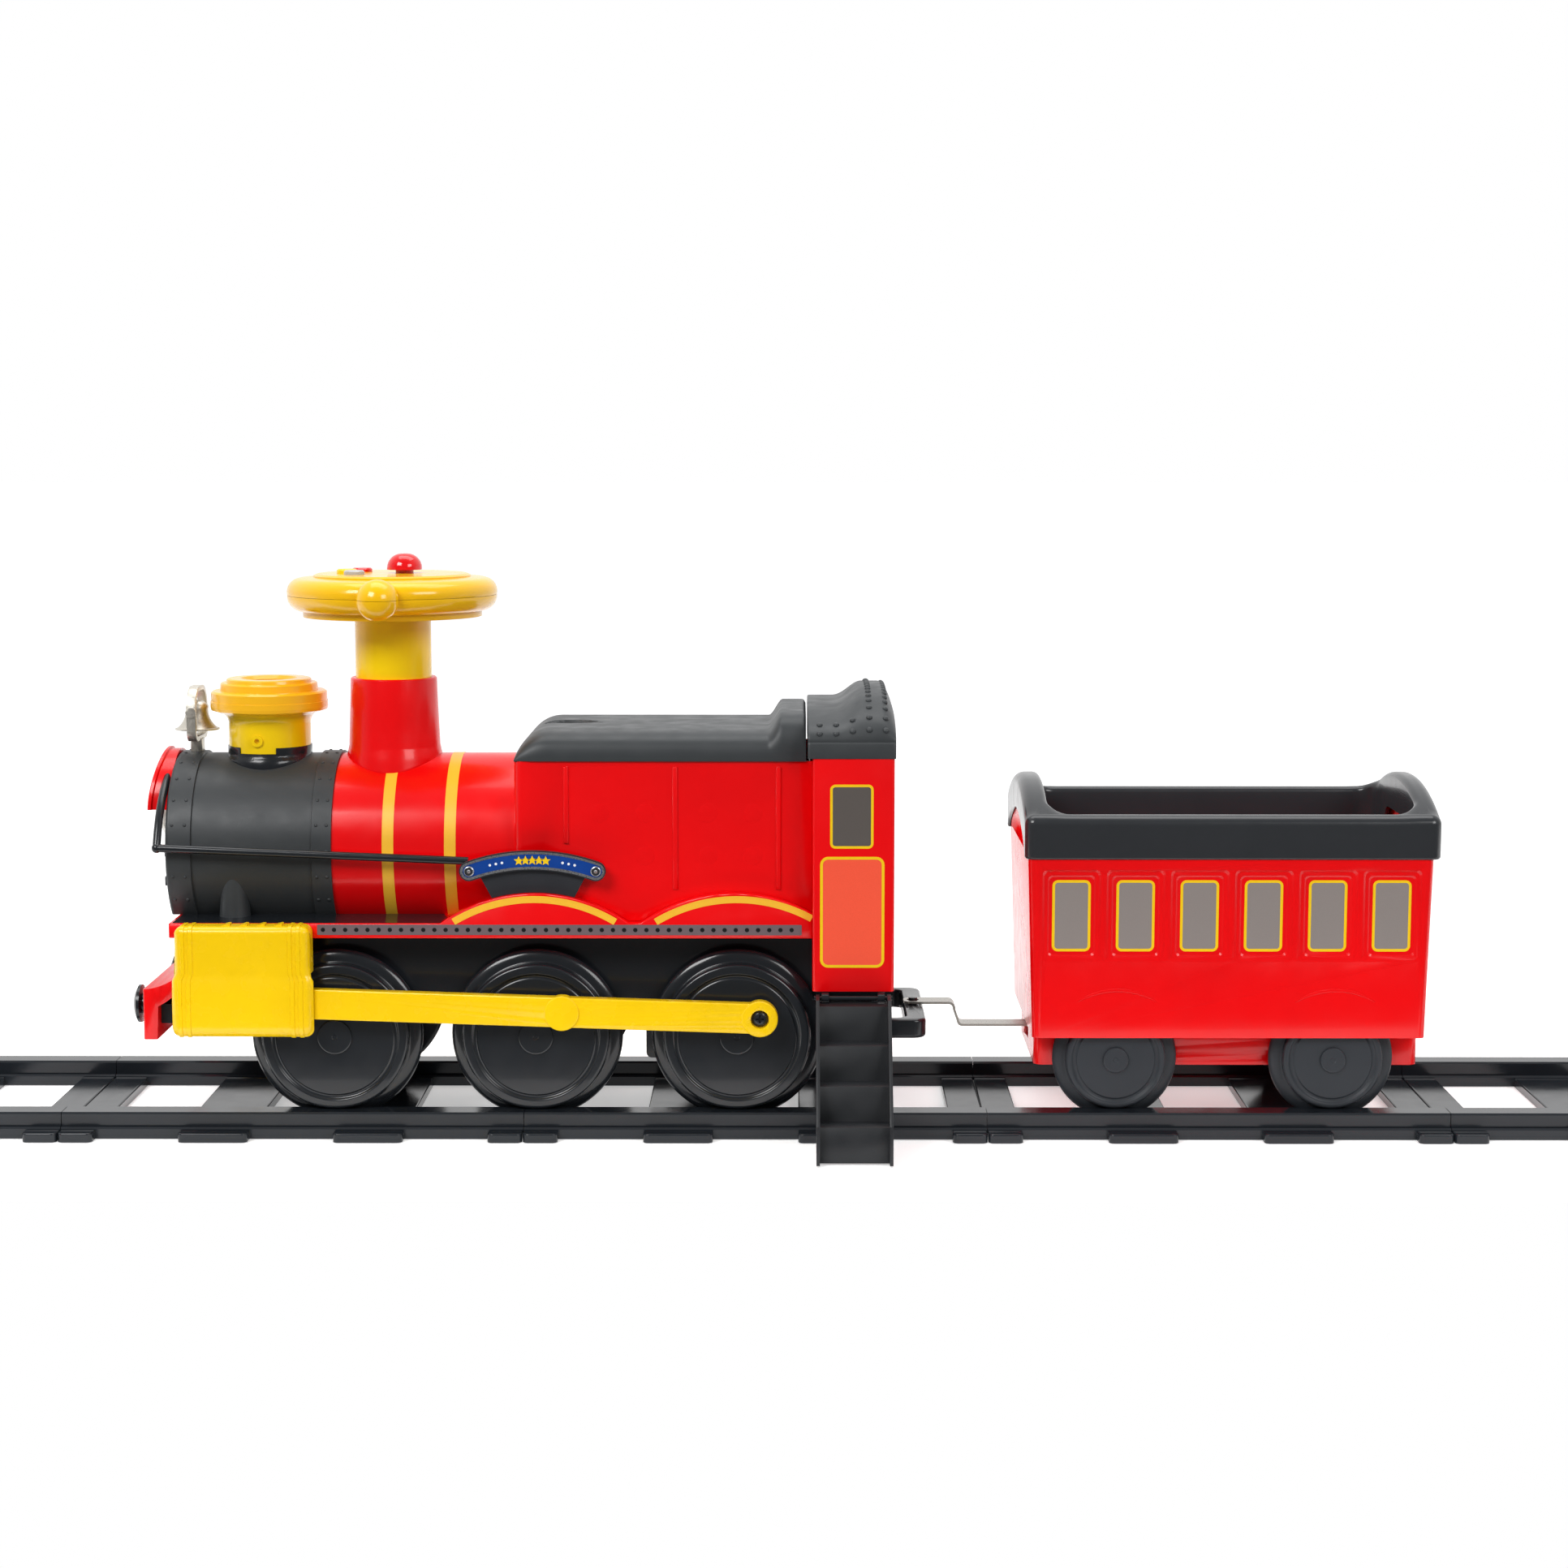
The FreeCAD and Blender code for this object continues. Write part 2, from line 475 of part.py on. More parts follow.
def wheel_lower():
    """Lower half of the steering wheel, a dish that stands on the column."""
    dish = turned([
        (0, 444), (78.6, 444), (78.6, 449), ((88.5, 453), (92, WHEEL_SEAM_Z)), (88.5, WHEEL_SEAM_Z),
        ((85, 455.6), (76, 452.5)), (72, 447.5), (0, 447.5),
    ], (STEER_X, 0, 0))
    ball = knob_ball(440, WHEEL_SEAM_Z)
    return joined(dish, ball, mirrored(ball))


def wheel_upper():
    seam = WHEEL_SEAM_Z + 0.3
    cover = turned([
        (0, 476), (74, 476), ((84, 473), (88.5, seam)), (92, seam), ((89.6, 473.5), (80, 478)),
        (70, 479), (0, 479),
    ], (STEER_X, 0, 0))
    ball = knob_ball(seam, 490)
    return less(joined(cover, ball, mirrored(ball)), *button_holes())


def wheel_panel():
    disc = turned([(0, 479), (69, 479), (69, 480.2), (66, 481.6), (0, 482)], (STEER_X, 0, 0))
    return less(disc, *button_holes())


HORN_X = -311.0
SOUND_BUTTONS = {"sound_button_left": (-352.0, -24.0), "sound_button_middle": (-362.0, 0.0),
                 "sound_button_right": (-352.0, 24.0)}


def button_holes():
    holes = [rod(8.3, (HORN_X, 0, 470), (0, 0, 1), 20)]
    return holes + [rod(9.3, (x, y, 470), (0, 0, 1), 20) for x, y in SOUND_BUTTONS.values()]


def horn_button():
    domed = [(0, 468), (8, 468), (8, 485), (15.4, 485), (15.4, 488), ((11.0, 496), (0, 499))]
    return turned(domed, (HORN_X, 0, 0))


def sound_button(x, y):
    return turned([(0, 468), (9, 468), (9, 484.2), (7.6, 485.4), (0, 485.8)], (x, y, 0))


def sound_board():
    board = box(-366, -290, -30, 30, 451, 453)
    speaker = rod(24, (-322, 0, 453), (0, 0, 1), 10)
    return joined(board, speaker)


def chimney_tab(slack):
    return box(-454 - slack, -422 + slack, -45, -20, 324.5 - slack, COLLAR_TOP + 1)


def chimney_collar():
    collar = turned([(31, 300), (31, COLLAR_TOP), (37, COLLAR_TOP), (37, 322), (39.5, 318), (41, 300)],
                    (CHIMNEY_X, 0, 0))
    return less(collar, boiler_bar(BOILER_RADIUS + 0.05, -500, -380), chimney_tab(0.2))


def chimney():
    """Stem up to the seam round its flange, and the stepped crown pressed on it."""
    stem = turned([
        (32, COLLAR_TOP + 0.2), (36, COLLAR_TOP + 0.2), (36, 348), ((38.5, 356), (47, 360)), (51, 361.5),
        (51.5, 364), (51.5, 369), (50.8, CHIMNEY_SEAM), (32, CHIMNEY_SEAM),
    ], (CHIMNEY_X, 0, 0))
    ring = turned([(32, 320), (36, 320), (36, 335), (32, 335)], (CHIMNEY_X, 0, 0))
    tab = ring.common(chimney_tab(0))
    boss = rod(5.0, (CHIMNEY_X - 5, -34, 336), (0, -1, 0), 3.6)
    hole = rod(2.2, (CHIMNEY_X - 5, -34.5, 336), (0, -1, 0), 6)
    crown = turned([
        (32, CHIMNEY_SEAM), (50.8, CHIMNEY_SEAM), (50.8, 376.5), (49, 378), (43, 378.6), (42.5, 384.2),
        (41.5, 385.2), (37.6, 385.6), (37, 388.2), (35.6, 389), (25, 389), (22, 386), (22, 381), (32, 372),
    ], (CHIMNEY_X, 0, 0))
    return group([less(joined(stem, tab, boss), hole), crown])


def bell_yoke():
    """Post and hoop across the locomotive; the bell hangs on a pin between the hoop's arms."""
    low, high = 334.0, 382.0
    outer = filleted(box(BELL_X - 4, BELL_X + 4, -27, 27, low, high), 10.0, along("x", lambda m: m.z < 340))
    outer = filleted(outer, 20.0, along("x", lambda m: m.z > 370))
    inner = box(BELL_X - 5, BELL_X + 5, -23, 23, low + 4, high - 4)
    inner = filleted(inner, 7.0, along("x", lambda m: m.z < 345))
    inner = filleted(inner, 16.0, along("x", lambda m: m.z > 370))
    post = less(box(BELL_X - 5, BELL_X + 5, -6, 6, 318, low + 1), boiler_bar(BAND_RADIUS + 0.05, -530, -480))
    hoop = less(outer, inner)
    heads = [rod(4.5, (BELL_X, side * 26.5, BELL_PIVOT_Z), (0, side, 0), 2.5) for side in (-1, 1)]
    bore = rod(1.56, (BELL_X, -25.5, BELL_PIVOT_Z), (0, 1, 0), 51)
    return less(joined(hoop, post, *heads), bore)


def bell():
    rim = 343.0 - BELL_PIVOT_Z
    skin = turned([
        (0, 8.2), ((7.5, 6.5), (9.8, 1)), ((11.5, -8), (17.4, rim + 1.6)), (19.5, rim + 1), (19.5, rim),
        (17.5, rim), ((10, -7.5), (8, 0.5)), ((6, 4.6), (0, 5.6)),
    ], (BELL_X, 0, BELL_PIVOT_Z))
    pin = rod(1.5, (BELL_X, -25, BELL_PIVOT_Z), (0, 1, 0), 50)
    clapper = joined(rod(1.0, (BELL_X, 0, BELL_PIVOT_Z - 11), (0, 0, 1), 11),
                     Part.makeSphere(3.2, Vector(BELL_X, 0, BELL_PIVOT_Z - 12)))
    return joined(skin, pin, clapper)


def plate_outline(inset):
    """The nameplate's arched outline with round ends, as (x, z)."""
    mid = (PLATE_BOLT_REACH ** 2 + (PLATE_MID_Z - PLATE_BOLT_Z) ** 2) / (2 * (PLATE_MID_Z - PLATE_BOLT_Z))
    centre_z = PLATE_MID_Z - mid
    half, turn = PLATE_HALF_HEIGHT - inset, math.asin(PLATE_BOLT_REACH / mid)

    def at(radius, angle):
        return (PLATE_X + radius * math.sin(angle), centre_z + radius * math.cos(angle))

    def end(side):
        x, z = at(mid, side * turn)
        return (x + side * half * math.cos(turn), z - half * math.sin(turn))

    return [
        at(mid + half, -turn), (at(mid + half, 0), at(mid + half, turn)), (end(1), at(mid - half, turn)),
        (at(mid - half, 0), at(mid - half, -turn)), (end(-1), at(mid + half, -turn)),
    ]


def nameplate():
    plate = prism(plate_outline(0), "y", -104, -100)
    face = prism(plate_outline(2.2), "y", -106, -103.2)
    centre_z = SPLASHER_TOP - SPLASHER_RADIUS
    splasher = rod(SPLASHER_RADIUS + 0.2, (SPLASHER_XS[0], -120, centre_z), (0, 1, 0), 60)
    web = prism([(-238, 228), ((-191.5, 240), (-145, 228)), (-160, 200), (-223, 200)], "y", -100, -96.5)
    stay = box(-205, -178, -96.5, -SADDLE_HALF, 214, 228)
    bolts = [rod(3.6, (PLATE_X + side * PLATE_BOLT_REACH, -103.2, PLATE_BOLT_Z), (0, -1, 0), 2.6)
             for side in (-1, 1)]
    return joined(less(joined(less(plate, face), web), splasher), stay, *bolts)


def saddle_body():
    """Side-tank shell under the seat, open at the top for the battery."""
    outer = filleted(box(SADDLE_FRONT, SADDLE_REAR, -SADDLE_HALF, SADDLE_HALF, BOARD_TOP, SADDLE_TOP),
                     7.0, along("z", lambda m: m.x < 0))
    inside = box(SADDLE_FRONT + SHELL, SADDLE_REAR - SHELL, -SADDLE_HALF + SHELL, SADDLE_HALF - SHELL,
                 BOARD_TOP + SHELL, SADDLE_TOP + 1)
    ribs = []
    for x in (-163.0, -69.0, 20.0):
        low = 214.0 if x > -100 else 254.0
        rib = box(x - 2.2, x + 2.2, -SADDLE_HALF - 2.0, -SADDLE_HALF + 1, low, SADDLE_TOP - 5)
        rib = filleted(rib, 1.6, along("z", lambda m: m.y < -SADDLE_HALF))
        ribs += [rib, mirrored(rib)]
    return less(joined(outer, *ribs), inside)


def battery():
    case = filleted(box(-40, 30, -24, 24, BOARD_TOP + SHELL, BOARD_TOP + SHELL + 95), 3.0, along("z"))
    posts = [box(-32, -26, -12, -11, 284, 290), box(16, 22, -12, -11, 284, 290)]
    return joined(case, *posts)


def seat():
    """Lift-off seat lid with a raised back and a finger recess."""
    outline = [
        (SADDLE_FRONT, SADDLE_TOP), ((SADDLE_FRONT + 7, SADDLE_TOP + 17), (SADDLE_FRONT + 26, SEAT_TOP)),
        (8, SEAT_TOP), (17, SEAT_HUMP - 2), ((19, SEAT_HUMP - 0.5), (21, SEAT_HUMP)),
        (SEAT_REAR - 3, SEAT_HUMP), (SEAT_REAR, SEAT_HUMP - 3), (SEAT_REAR, SADDLE_TOP),
    ]
    lid = prism(outline, "y", -SEAT_HALF, SEAT_HALF)
    lid = filleted(lid, 9.0, lambda edge: abs(edge.CenterOfMass.y) > SEAT_HALF - 0.1
                   and edge.CenterOfMass.z > SEAT_TOP - 1 and edge.Length > 60)
    inside = box(-130, 36, -86, 86, SADDLE_TOP - 1, SEAT_TOP - 5)
    pocket = filleted(box(-187, -143, -13, 13, 340, 360), 12.0, along("z"))
    locator = less(box(SADDLE_FRONT + 5, 40, -87, 87, SADDLE_TOP - 6, SADDLE_TOP + 1),
                   box(SADDLE_FRONT + 8, 37, -84, 84, SADDLE_TOP - 7, SADDLE_TOP + 2))
    return joined(less(lid, inside, pocket), locator)


def cab_body():
    shell = box(CAB_FRONT, CAB_REAR, -CAB_HALF, CAB_HALF, CAB_BOTTOM, CAB_TOP)
    shell = filleted(shell, 3.0, along("z"))
    half = CAB_HALF - SHELL
    inside = box(CAB_FRONT + SHELL, CAB_REAR - SHELL, -half, half, CAB_BOTTOM - 1, CAB_TOP + 1)
    passage = box(CAB_FRONT - 1, CAB_REAR + 1, -CHASSIS_HALF - 1, CHASSIS_HALF + 1, CAB_BOTTOM - 1, BOARD_TOP)
    shelf = box(CAB_FRONT + 1, CAB_REAR - 1, -CAB_HALF + 1, CAB_HALF - 1, BOARD_TOP, BOARD_TOP + SHELL)
    return joined(less(shell, inside, passage), shelf)


def cab_roof():
    """Black roof: a low front crown and a higher arched rear band."""
    half = CAB_HALF + 0.5
    low = prism([(-half, CAB_TOP), (-half, 352), ((0, 371.5), (half, 352)), (half, CAB_TOP)], "x", 45, 120)
    high = prism([(-half, CAB_TOP), (-half, 352), ((0, 386), (half, 352)), (half, CAB_TOP)], "x", 45, 120)
    rear = prism([(92, CAB_TOP), (120, CAB_TOP), (120, 352), ((116.5, 370), (106, 387)), (94, 387), (88, 379),
                  (74, 371), (66, 368), (66, CAB_TOP)], "y", -130, 130)
    front = prism([(45, CAB_TOP), (120, CAB_TOP), (120, 352), ((116.5, 370), (106, 387)), (45, 387)],
                  "y", -130, 130)
    roof = joined(low.common(front), high.common(rear))
    inside = box(49, 116, -half + 4, half - 4, CAB_TOP - 1, 346)
    return less(roof, inside)


def step_hinge():
    """Two bracket arms under the left cab door and the pin that the steps swing on."""
    arms = [box(x, x + 6, -STEP_PIVOT_T, -CHASSIS_HALF, 119, 128.6) for x in (57.0, 105.0)]
    eyes = [rod(4.4, (x, -STEP_PIVOT_T, STEP_PIVOT_Z), (1, 0, 0), 6) for x in (57.0, 105.0)]
    bore = rod(STEP_PIN + 0.02, (40, -STEP_PIVOT_T, STEP_PIVOT_Z), (1, 0, 0), 100)
    pin = rod(STEP_PIN, (STEP_X0 - 1.5, -STEP_PIVOT_T, STEP_PIVOT_Z), (1, 0, 0), STEP_X1 - STEP_X0 + 3)
    return group([pin] + [less(joined(arm, eye), bore) for arm, eye in zip(arms, eyes)])


def steps():
    """Left flight of steps, hinged under the cab door."""
    wall, inner = 3.0, 119.0
    top = STEP_COUNT * STEP_RISE + 1.6
    corners, t, z = [(-inner, top)], inner, top
    for _ in range(STEP_COUNT):
        t += STEP_RUN
        corners.append((-t, z))
        z -= STEP_RISE
        corners.append((-t, max(z, 1.0)))
    corners[-1] = (-t, 1.0)
    under = [(y + wall, z - wall) for y, z in corners]
    under[-1] = (under[-1][0], 1.0)
    under[0] = (-inner, top - wall)
    treads = prism(corners + under[::-1], "x", STEP_X0 + wall, STEP_X1 - wall)
    side = [(-inner, 127), (-147, 127), (-216, 34), (-216, 1), (-200, 1), (-inner, 98)]
    stringers = [prism(side, "x", x, x + wall) for x in (STEP_X0, STEP_X1 - wall)]
    notches = [box(x - 0.6, x + 6.6, -128, -110, 110, 135) for x in (57.0, 105.0)]
    bore = rod(STEP_PIN + RUNNING_CLEARANCE, (40, -STEP_PIVOT_T, STEP_PIVOT_Z), (1, 0, 0), 100)
    return less(joined(treads, *stringers), bore, *notches)


def tow_bar():
    loop = filleted(box(92, 149, -75, 75, TOW_BOTTOM, TOW_TOP), 12.0, along("z", lambda m: m.x > 140))
    gap = filleted(box(80, 131, -63, 63, TOW_BOTTOM - 1, TOW_TOP + 1), 8.0, along("z", lambda m: m.x > 120))
    loop = less(loop, gap)
    loop = filleted(loop, 3.0, lambda e: e.CenterOfMass.x > 100 and abs(e.CenterOfMass.z - 87.5) > 8
                    and abs(e.CenterOfMass.y) < 76)
    lugs = [box(92, 108, low, high, TOW_TOP - 3, CHASSIS_BOTTOM) for low, high in ((-72, -64), (64, 72))]
    peg = rod(4.0, (TOW_PEG_X, 0, TOW_TOP - 1), (0, 0, 1), PEG_TOP - TOW_TOP + 1)
    return joined(loop, *lugs, peg)


# ---- carriage -----------------------------------------------------------------------------------
def rounded_rectangle(x0, x1, half, z, radius):
    rectangle = box(x0, x1, -half, half, z, z + 1)
    slab = filleted(rectangle, radius, along("z"))
    return [face for face in slab.Faces if face.CenterOfMass.z < z + 1e-6][0].OuterWire


def tapered(grow, z0, z1, radius):
    """The tub's drafted outline between two heights, grown or shrunk sideways."""
    wires = []
    for z in (z0, z1):
        share = (z - CAR_BOTTOM) / (CAR_TOP - CAR_BOTTOM)
        x0, x1 = (low + (high - low) * share for low, high in zip(CAR_X_BOTTOM, CAR_X_TOP))
        half = CAR_Y_BOTTOM + (CAR_Y_TOP - CAR_Y_BOTTOM) * share
        wires.append(rounded_rectangle(x0 - grow, x1 + grow, half + grow, z, radius))
    return Part.makeLoft(wires, True, True)


def carriage_body():
    """Red open tub with six panelled windows a side, arched ends and wheel wells."""
    tub = tapered(0, CAR_BOTTOM, CAR_TOP, 6.0)
    arch = [(-104, CAR_TOP - 2), (-104, 262), ((0, 296), (104, 262)), (104, CAR_TOP - 2)]
    ends = [prism(arch, "x", x0, x1) for x0, x1 in ((234.2, 238.2), (577.8, 581.8))]
    wells, spaces = [], []
    for x in CAR_WHEEL_XS.values():
        for side in (-1, 1):
            for radius, near, far, kept in (
                    (WELL_RADIUS, 75.5, 104, wells), (WELL_RADIUS - 2.5, 78, 102, spaces)):
                low, high = sorted((side * near, side * far))
                drum = rod(radius, (x, low, CAR_WHEEL_Z), (0, 1, 0), high - low)
                kept.append(drum.common(box(200, 600, -120, 120, CAR_BOTTOM - 20, 200)))
    wells = [well.common(box(200, 600, -120, 120, CAR_BOTTOM, 200)) for well in wells]
    inside = tapered(-CAR_WALL, CAR_BOTTOM + CAR_WALL, CAR_TOP, 4.0)
    top_hole = box(CAR_X_TOP[0] + 4.2, CAR_X_TOP[1] - 4.2, -104, 104, CAR_TOP - 1, CAR_TOP + 1)
    body = less(joined(less(tub, inside, top_hole), *ends, *wells), *spaces)
    panels = []
    for index in range(WINDOW_COUNT):
        x = WINDOW_X + index * WINDOW_PITCH
        for half_x, low, high, floor in ((25.0, 153.0, 233.0, 105.9), (20.5, 158.0, 228.0, 104.9)):
            panel = filleted(box(x - half_x, x + half_x, -115, -floor, low, high), 4.0, along("y"))
            panels += [panel, mirrored(panel)]
    return less(body, *panels)


def carriage_rim():
    """Black moulded rim that caps the tub, with arched ends over an open mouth."""
    x0, x1 = RIM_X
    arch = [(-RIM_Y, 242), (-RIM_Y, RIM_TOP - 4), ((0, RIM_ARCH), (RIM_Y, RIM_TOP - 4)), (RIM_Y, 242)]
    whole = prism(arch, "x", x0, x1)
    mouth = filleted(box(*RIM_MOUTH_X, -RIM_MOUTH_Y, RIM_MOUTH_Y, 200, 320), 20.0, along("z"))
    low_middle = box(x0 + 34, x1 - 34, -130, 130, RIM_TOP, 320)
    low_middle = filleted(low_middle, 14.0, along("y", lambda m: m.z < 290))
    solid = less(whole, low_middle, mouth)
    inner_arch = [(-RIM_Y + 4, 240), (-RIM_Y + 4, RIM_TOP - 9), ((0, RIM_ARCH - 5), (RIM_Y - 4, RIM_TOP - 9)),
                  (RIM_Y - 4, 240)]
    hollow = prism(inner_arch, "x", x0 + 3, x1 - 3).common(box(x0, x1, -130, 130, 230, 275))
    end_room = [prism(inner_arch, "x", a, b).common(box(a, b, -130, 130, 230, 300))
                for a, b in ((x0 + 3, x0 + 17), (x1 - 17, x1 - 3))]
    wall_half = RIM_MOUTH_Y + 3
    liner_wall = filleted(box(RIM_MOUTH_X[0] - 3, RIM_MOUTH_X[1] + 3, -wall_half, wall_half, 220, 301),
                          23.0, along("z"))
    hollow = less(joined(hollow, *end_room), liner_wall)
    arch_cut = [(-98, 230), (-98, 247), ((0, 272), (98, 247)), (98, 230)]
    ends_only = [prism(arch_cut, "x", a, b) for a, b in ((x0 - 1, x0 + 3), (x1 - 3, x1 + 1))]
    liner = less(liner_wall, mouth, box(200, 620, -130, 130, 250, 330))
    handholds = [filleted(box(a, b, -48, 48, 236, 270), 16.0, along("x"))
                 for a, b in ((235, 258), (563, 586))]
    skirt_room = tapered(0.3, CAR_TOP - 5, CAR_TOP, 6.3)
    rim = less(joined(less(solid, hollow, *ends_only), liner), skirt_room.common(less(
        box(200, 620, -130, 130, 200, 300), liner_wall)), *handholds)
    wall_arch = [(-104.4, 230), (-104.4, 262.4), ((0, 296.4), (104.4, 262.4)), (104.4, 230)]
    return less(rim, *[prism(wall_arch, "x", a, b) for a, b in ((233.9, 238.5), (577.5, 582.1))])


def carriage_frame():
    x0, x1 = CAR_FRAME_X
    frame = filleted(box(x0, x1, -CAR_FRAME_Y, CAR_FRAME_Y, CAR_FRAME_BOTTOM, CAR_BOTTOM), 8.0, along("z"))
    inside = box(x0 + 4, x1 - 4, -CAR_FRAME_Y + 4, CAR_FRAME_Y - 4, CAR_FRAME_BOTTOM - 1, CAR_BOTTOM - 4)
    bosses, bores = [], []
    for x in CAR_WHEEL_XS.values():
        for low, high in ((-CAR_FRAME_Y, -60.0), (60.0, CAR_FRAME_Y)):
            bosses.append(box(x - 11, x + 11, low, high, CAR_FRAME_BOTTOM, CAR_BOTTOM - 2))
        bores.append(rod(CAR_AXLE + RUNNING_CLEARANCE, (x, -90, CAR_WHEEL_Z), (0, 1, 0), 180))
    slot = box(x0 - 1, HITCH_PIVOT_X + 8, -HITCH_HALF - 1, HITCH_HALF + 1, 66, 85.9)
    ears = [box(x0 + 3, HITCH_PIVOT_X + 7, low, high, 68, CAR_BOTTOM - 3)
            for low, high in ((-17, -12.2), (12.2, 17))]
    pin = rod(2.5, (HITCH_PIVOT_X, -16, HITCH_Z + 1), (0, 1, 0), 32)
    return joined(less(joined(less(frame, inside), *bosses, *ears), slot, *bores), pin)


def hitch_bar():
    """Cranked steel strip from the carriage's pivot pin to the locomotive's peg."""
    thick, high = HITCH_THICK, 97.0
    top = [(131.5, high + thick), (172, high + thick), ((176.2, high), (177.6, high - 5)),
           (181, HITCH_Z + 5.5), ((182.2, HITCH_Z + 3), (185, HITCH_Z + thick)),
           (HITCH_PIVOT_X, HITCH_Z + thick)]
    bottom = [(HITCH_PIVOT_X, HITCH_Z), (184.2, HITCH_Z), ((180.6, HITCH_Z + 1.4), (179, HITCH_Z + 5)),
              (175.6, high - 5), ((174.6, high - 1.4), (171.5, high)), (131.5, high)]
    strip = prism(top + bottom, "y", -HITCH_HALF, HITCH_HALF)
    strip = filleted(strip, 8.0, along("z", lambda m: m.x < 135))
    eye = rod(4.6, (HITCH_PIVOT_X, -HITCH_HALF, HITCH_Z + 1), (0, 1, 0), 2 * HITCH_HALF)
    bore = rod(2.5 + RUNNING_CLEARANCE, (HITCH_PIVOT_X, -20, HITCH_Z + 1), (0, 1, 0), 40)
    hole = rod(5.3, (TOW_PEG_X, 0, high - 2), (0, 0, 1), 8)
    return less(joined(strip, eye), bore, hole)


def carriage_wheels(x):
    sizes = (CAR_WHEEL_RADIUS, CAR_FLANGE_RADIUS, 11.0, 35.0, CAR_AXLE, 77.0, CAR_WHEEL_FACE)
    return wheel_pair(x, CAR_WHEEL_Z, *sizes)


# ---- nodes --------------------------------------------------------------------------------------
def build_nodes():
    nodes = {f"track_section_{i + 1}": track_section(i) for i in range(SECTION_COUNT)}
    for name, x in WHEEL_XS.items():
        nodes[f"{name}_wheels"] = loco_wheels(x)
        nodes[f"{name}_axle"] = axle(x, WHEEL_Z, AXLE_RADIUS, WHEEL_FACE)
    for name, x in CAR_WHEEL_XS.items():
        car_axle = axle(x, CAR_WHEEL_Z, CAR_AXLE, CAR_WHEEL_FACE)
        nodes[f"{name}_wheelset"] = group([carriage_wheels(x), car_axle])
    for name, make in (("side_rod", side_rod), ("cylinder_cover", cylinder_cover), ("steps", steps)):
        left = make()
        nodes[f"{name}_left"], nodes[f"{name}_right"] = left, mirrored(left)
    for make in (crank_pin, buffer, nameplate, step_hinge):
        nodes[f"{make.__name__}s"] = pair(make())
    for name, (x, y) in SOUND_BUTTONS.items():
        nodes[name] = sound_button(x, y)
    for make in (drive_gear, motor_pinion, motor, gearbox, chassis, buffer_beam, footplate, smokebox,
                 smokebox_door, lamp_hood, headlamp, handrail, boiler_shell, steering_collar, steering_column,
                 wheel_lower, wheel_upper, wheel_panel, horn_button, sound_board, chimney_collar, chimney,
                 bell_yoke, bell, saddle_body, battery, seat, cab_body, cab_roof, tow_bar, carriage_body,
                 carriage_rim, carriage_frame, hitch_bar):
        nodes[make.__name__] = make()
    return nodes


os.makedirs("parts", exist_ok=True)
for node_name, node_shape in build_nodes().items():
    solids = node_shape.Solids
    kept = solids[0] if len(solids) == 1 else Part.makeCompound(solids)
    kept.exportStep(f"parts/{node_name}.step")
    print(f"{node_name}: {len(solids)} solids, {kept.Volume / 1000:.1f} cm3, valid {kept.isValid()}")
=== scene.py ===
"""Looks of the electric train set: moulded plastics, printed trim, rivets and rounded edges on the CAD frame.

Lengths in this file are millimetres, and MM turns them into the frame's metres. "Side" is -1 on the
near side (-Y) and 1 on the far side.
"""
import json
import math

import bmesh
import bpy
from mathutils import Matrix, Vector

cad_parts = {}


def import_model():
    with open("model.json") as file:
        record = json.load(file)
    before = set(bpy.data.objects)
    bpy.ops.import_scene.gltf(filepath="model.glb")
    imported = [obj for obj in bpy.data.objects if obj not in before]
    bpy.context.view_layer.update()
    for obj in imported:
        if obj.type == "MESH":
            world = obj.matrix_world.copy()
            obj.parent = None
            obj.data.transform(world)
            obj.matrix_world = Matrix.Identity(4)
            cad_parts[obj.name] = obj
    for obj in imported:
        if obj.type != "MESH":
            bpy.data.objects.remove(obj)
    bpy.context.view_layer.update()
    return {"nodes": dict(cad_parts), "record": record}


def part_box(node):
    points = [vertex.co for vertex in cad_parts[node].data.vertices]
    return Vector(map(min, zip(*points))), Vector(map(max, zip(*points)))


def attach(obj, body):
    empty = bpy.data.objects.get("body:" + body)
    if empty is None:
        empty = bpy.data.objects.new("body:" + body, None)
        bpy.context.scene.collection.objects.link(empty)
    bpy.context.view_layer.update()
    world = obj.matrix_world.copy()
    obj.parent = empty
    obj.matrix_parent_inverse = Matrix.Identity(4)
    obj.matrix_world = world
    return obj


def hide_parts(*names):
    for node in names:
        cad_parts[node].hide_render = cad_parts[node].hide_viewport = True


MM = 0.001
SIDES = (-1, 1)
SIDE_NAMES = {-1: "left", 1: "right"}

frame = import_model()
BODY_OF = {node: body for body, nodes in frame["record"]["behaviour"]["bodies"].items() for node in nodes}
SLOT_OF = {part["node"]: part["material_slot"] for part in frame["record"]["subparts"]}


def extent(node):
    """Lowest and highest corner of a CAD node, in millimetres."""
    low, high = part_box(node)
    return low / MM, high / MM


# ---- materials ----
def srgb(red, green, blue):
    """A display colour, 0 to 255, as the linear colour that a shader takes."""

    def linear(value):
        value /= 255
        return value / 12.92 if value <= 0.04045 else ((value + 0.055) / 1.055) ** 2.4

    return linear(red), linear(green), linear(blue), 1.0


def scaled(colour, share):
    return tuple(min(1.0, channel * share) for channel in colour[:3]) + (1.0,)


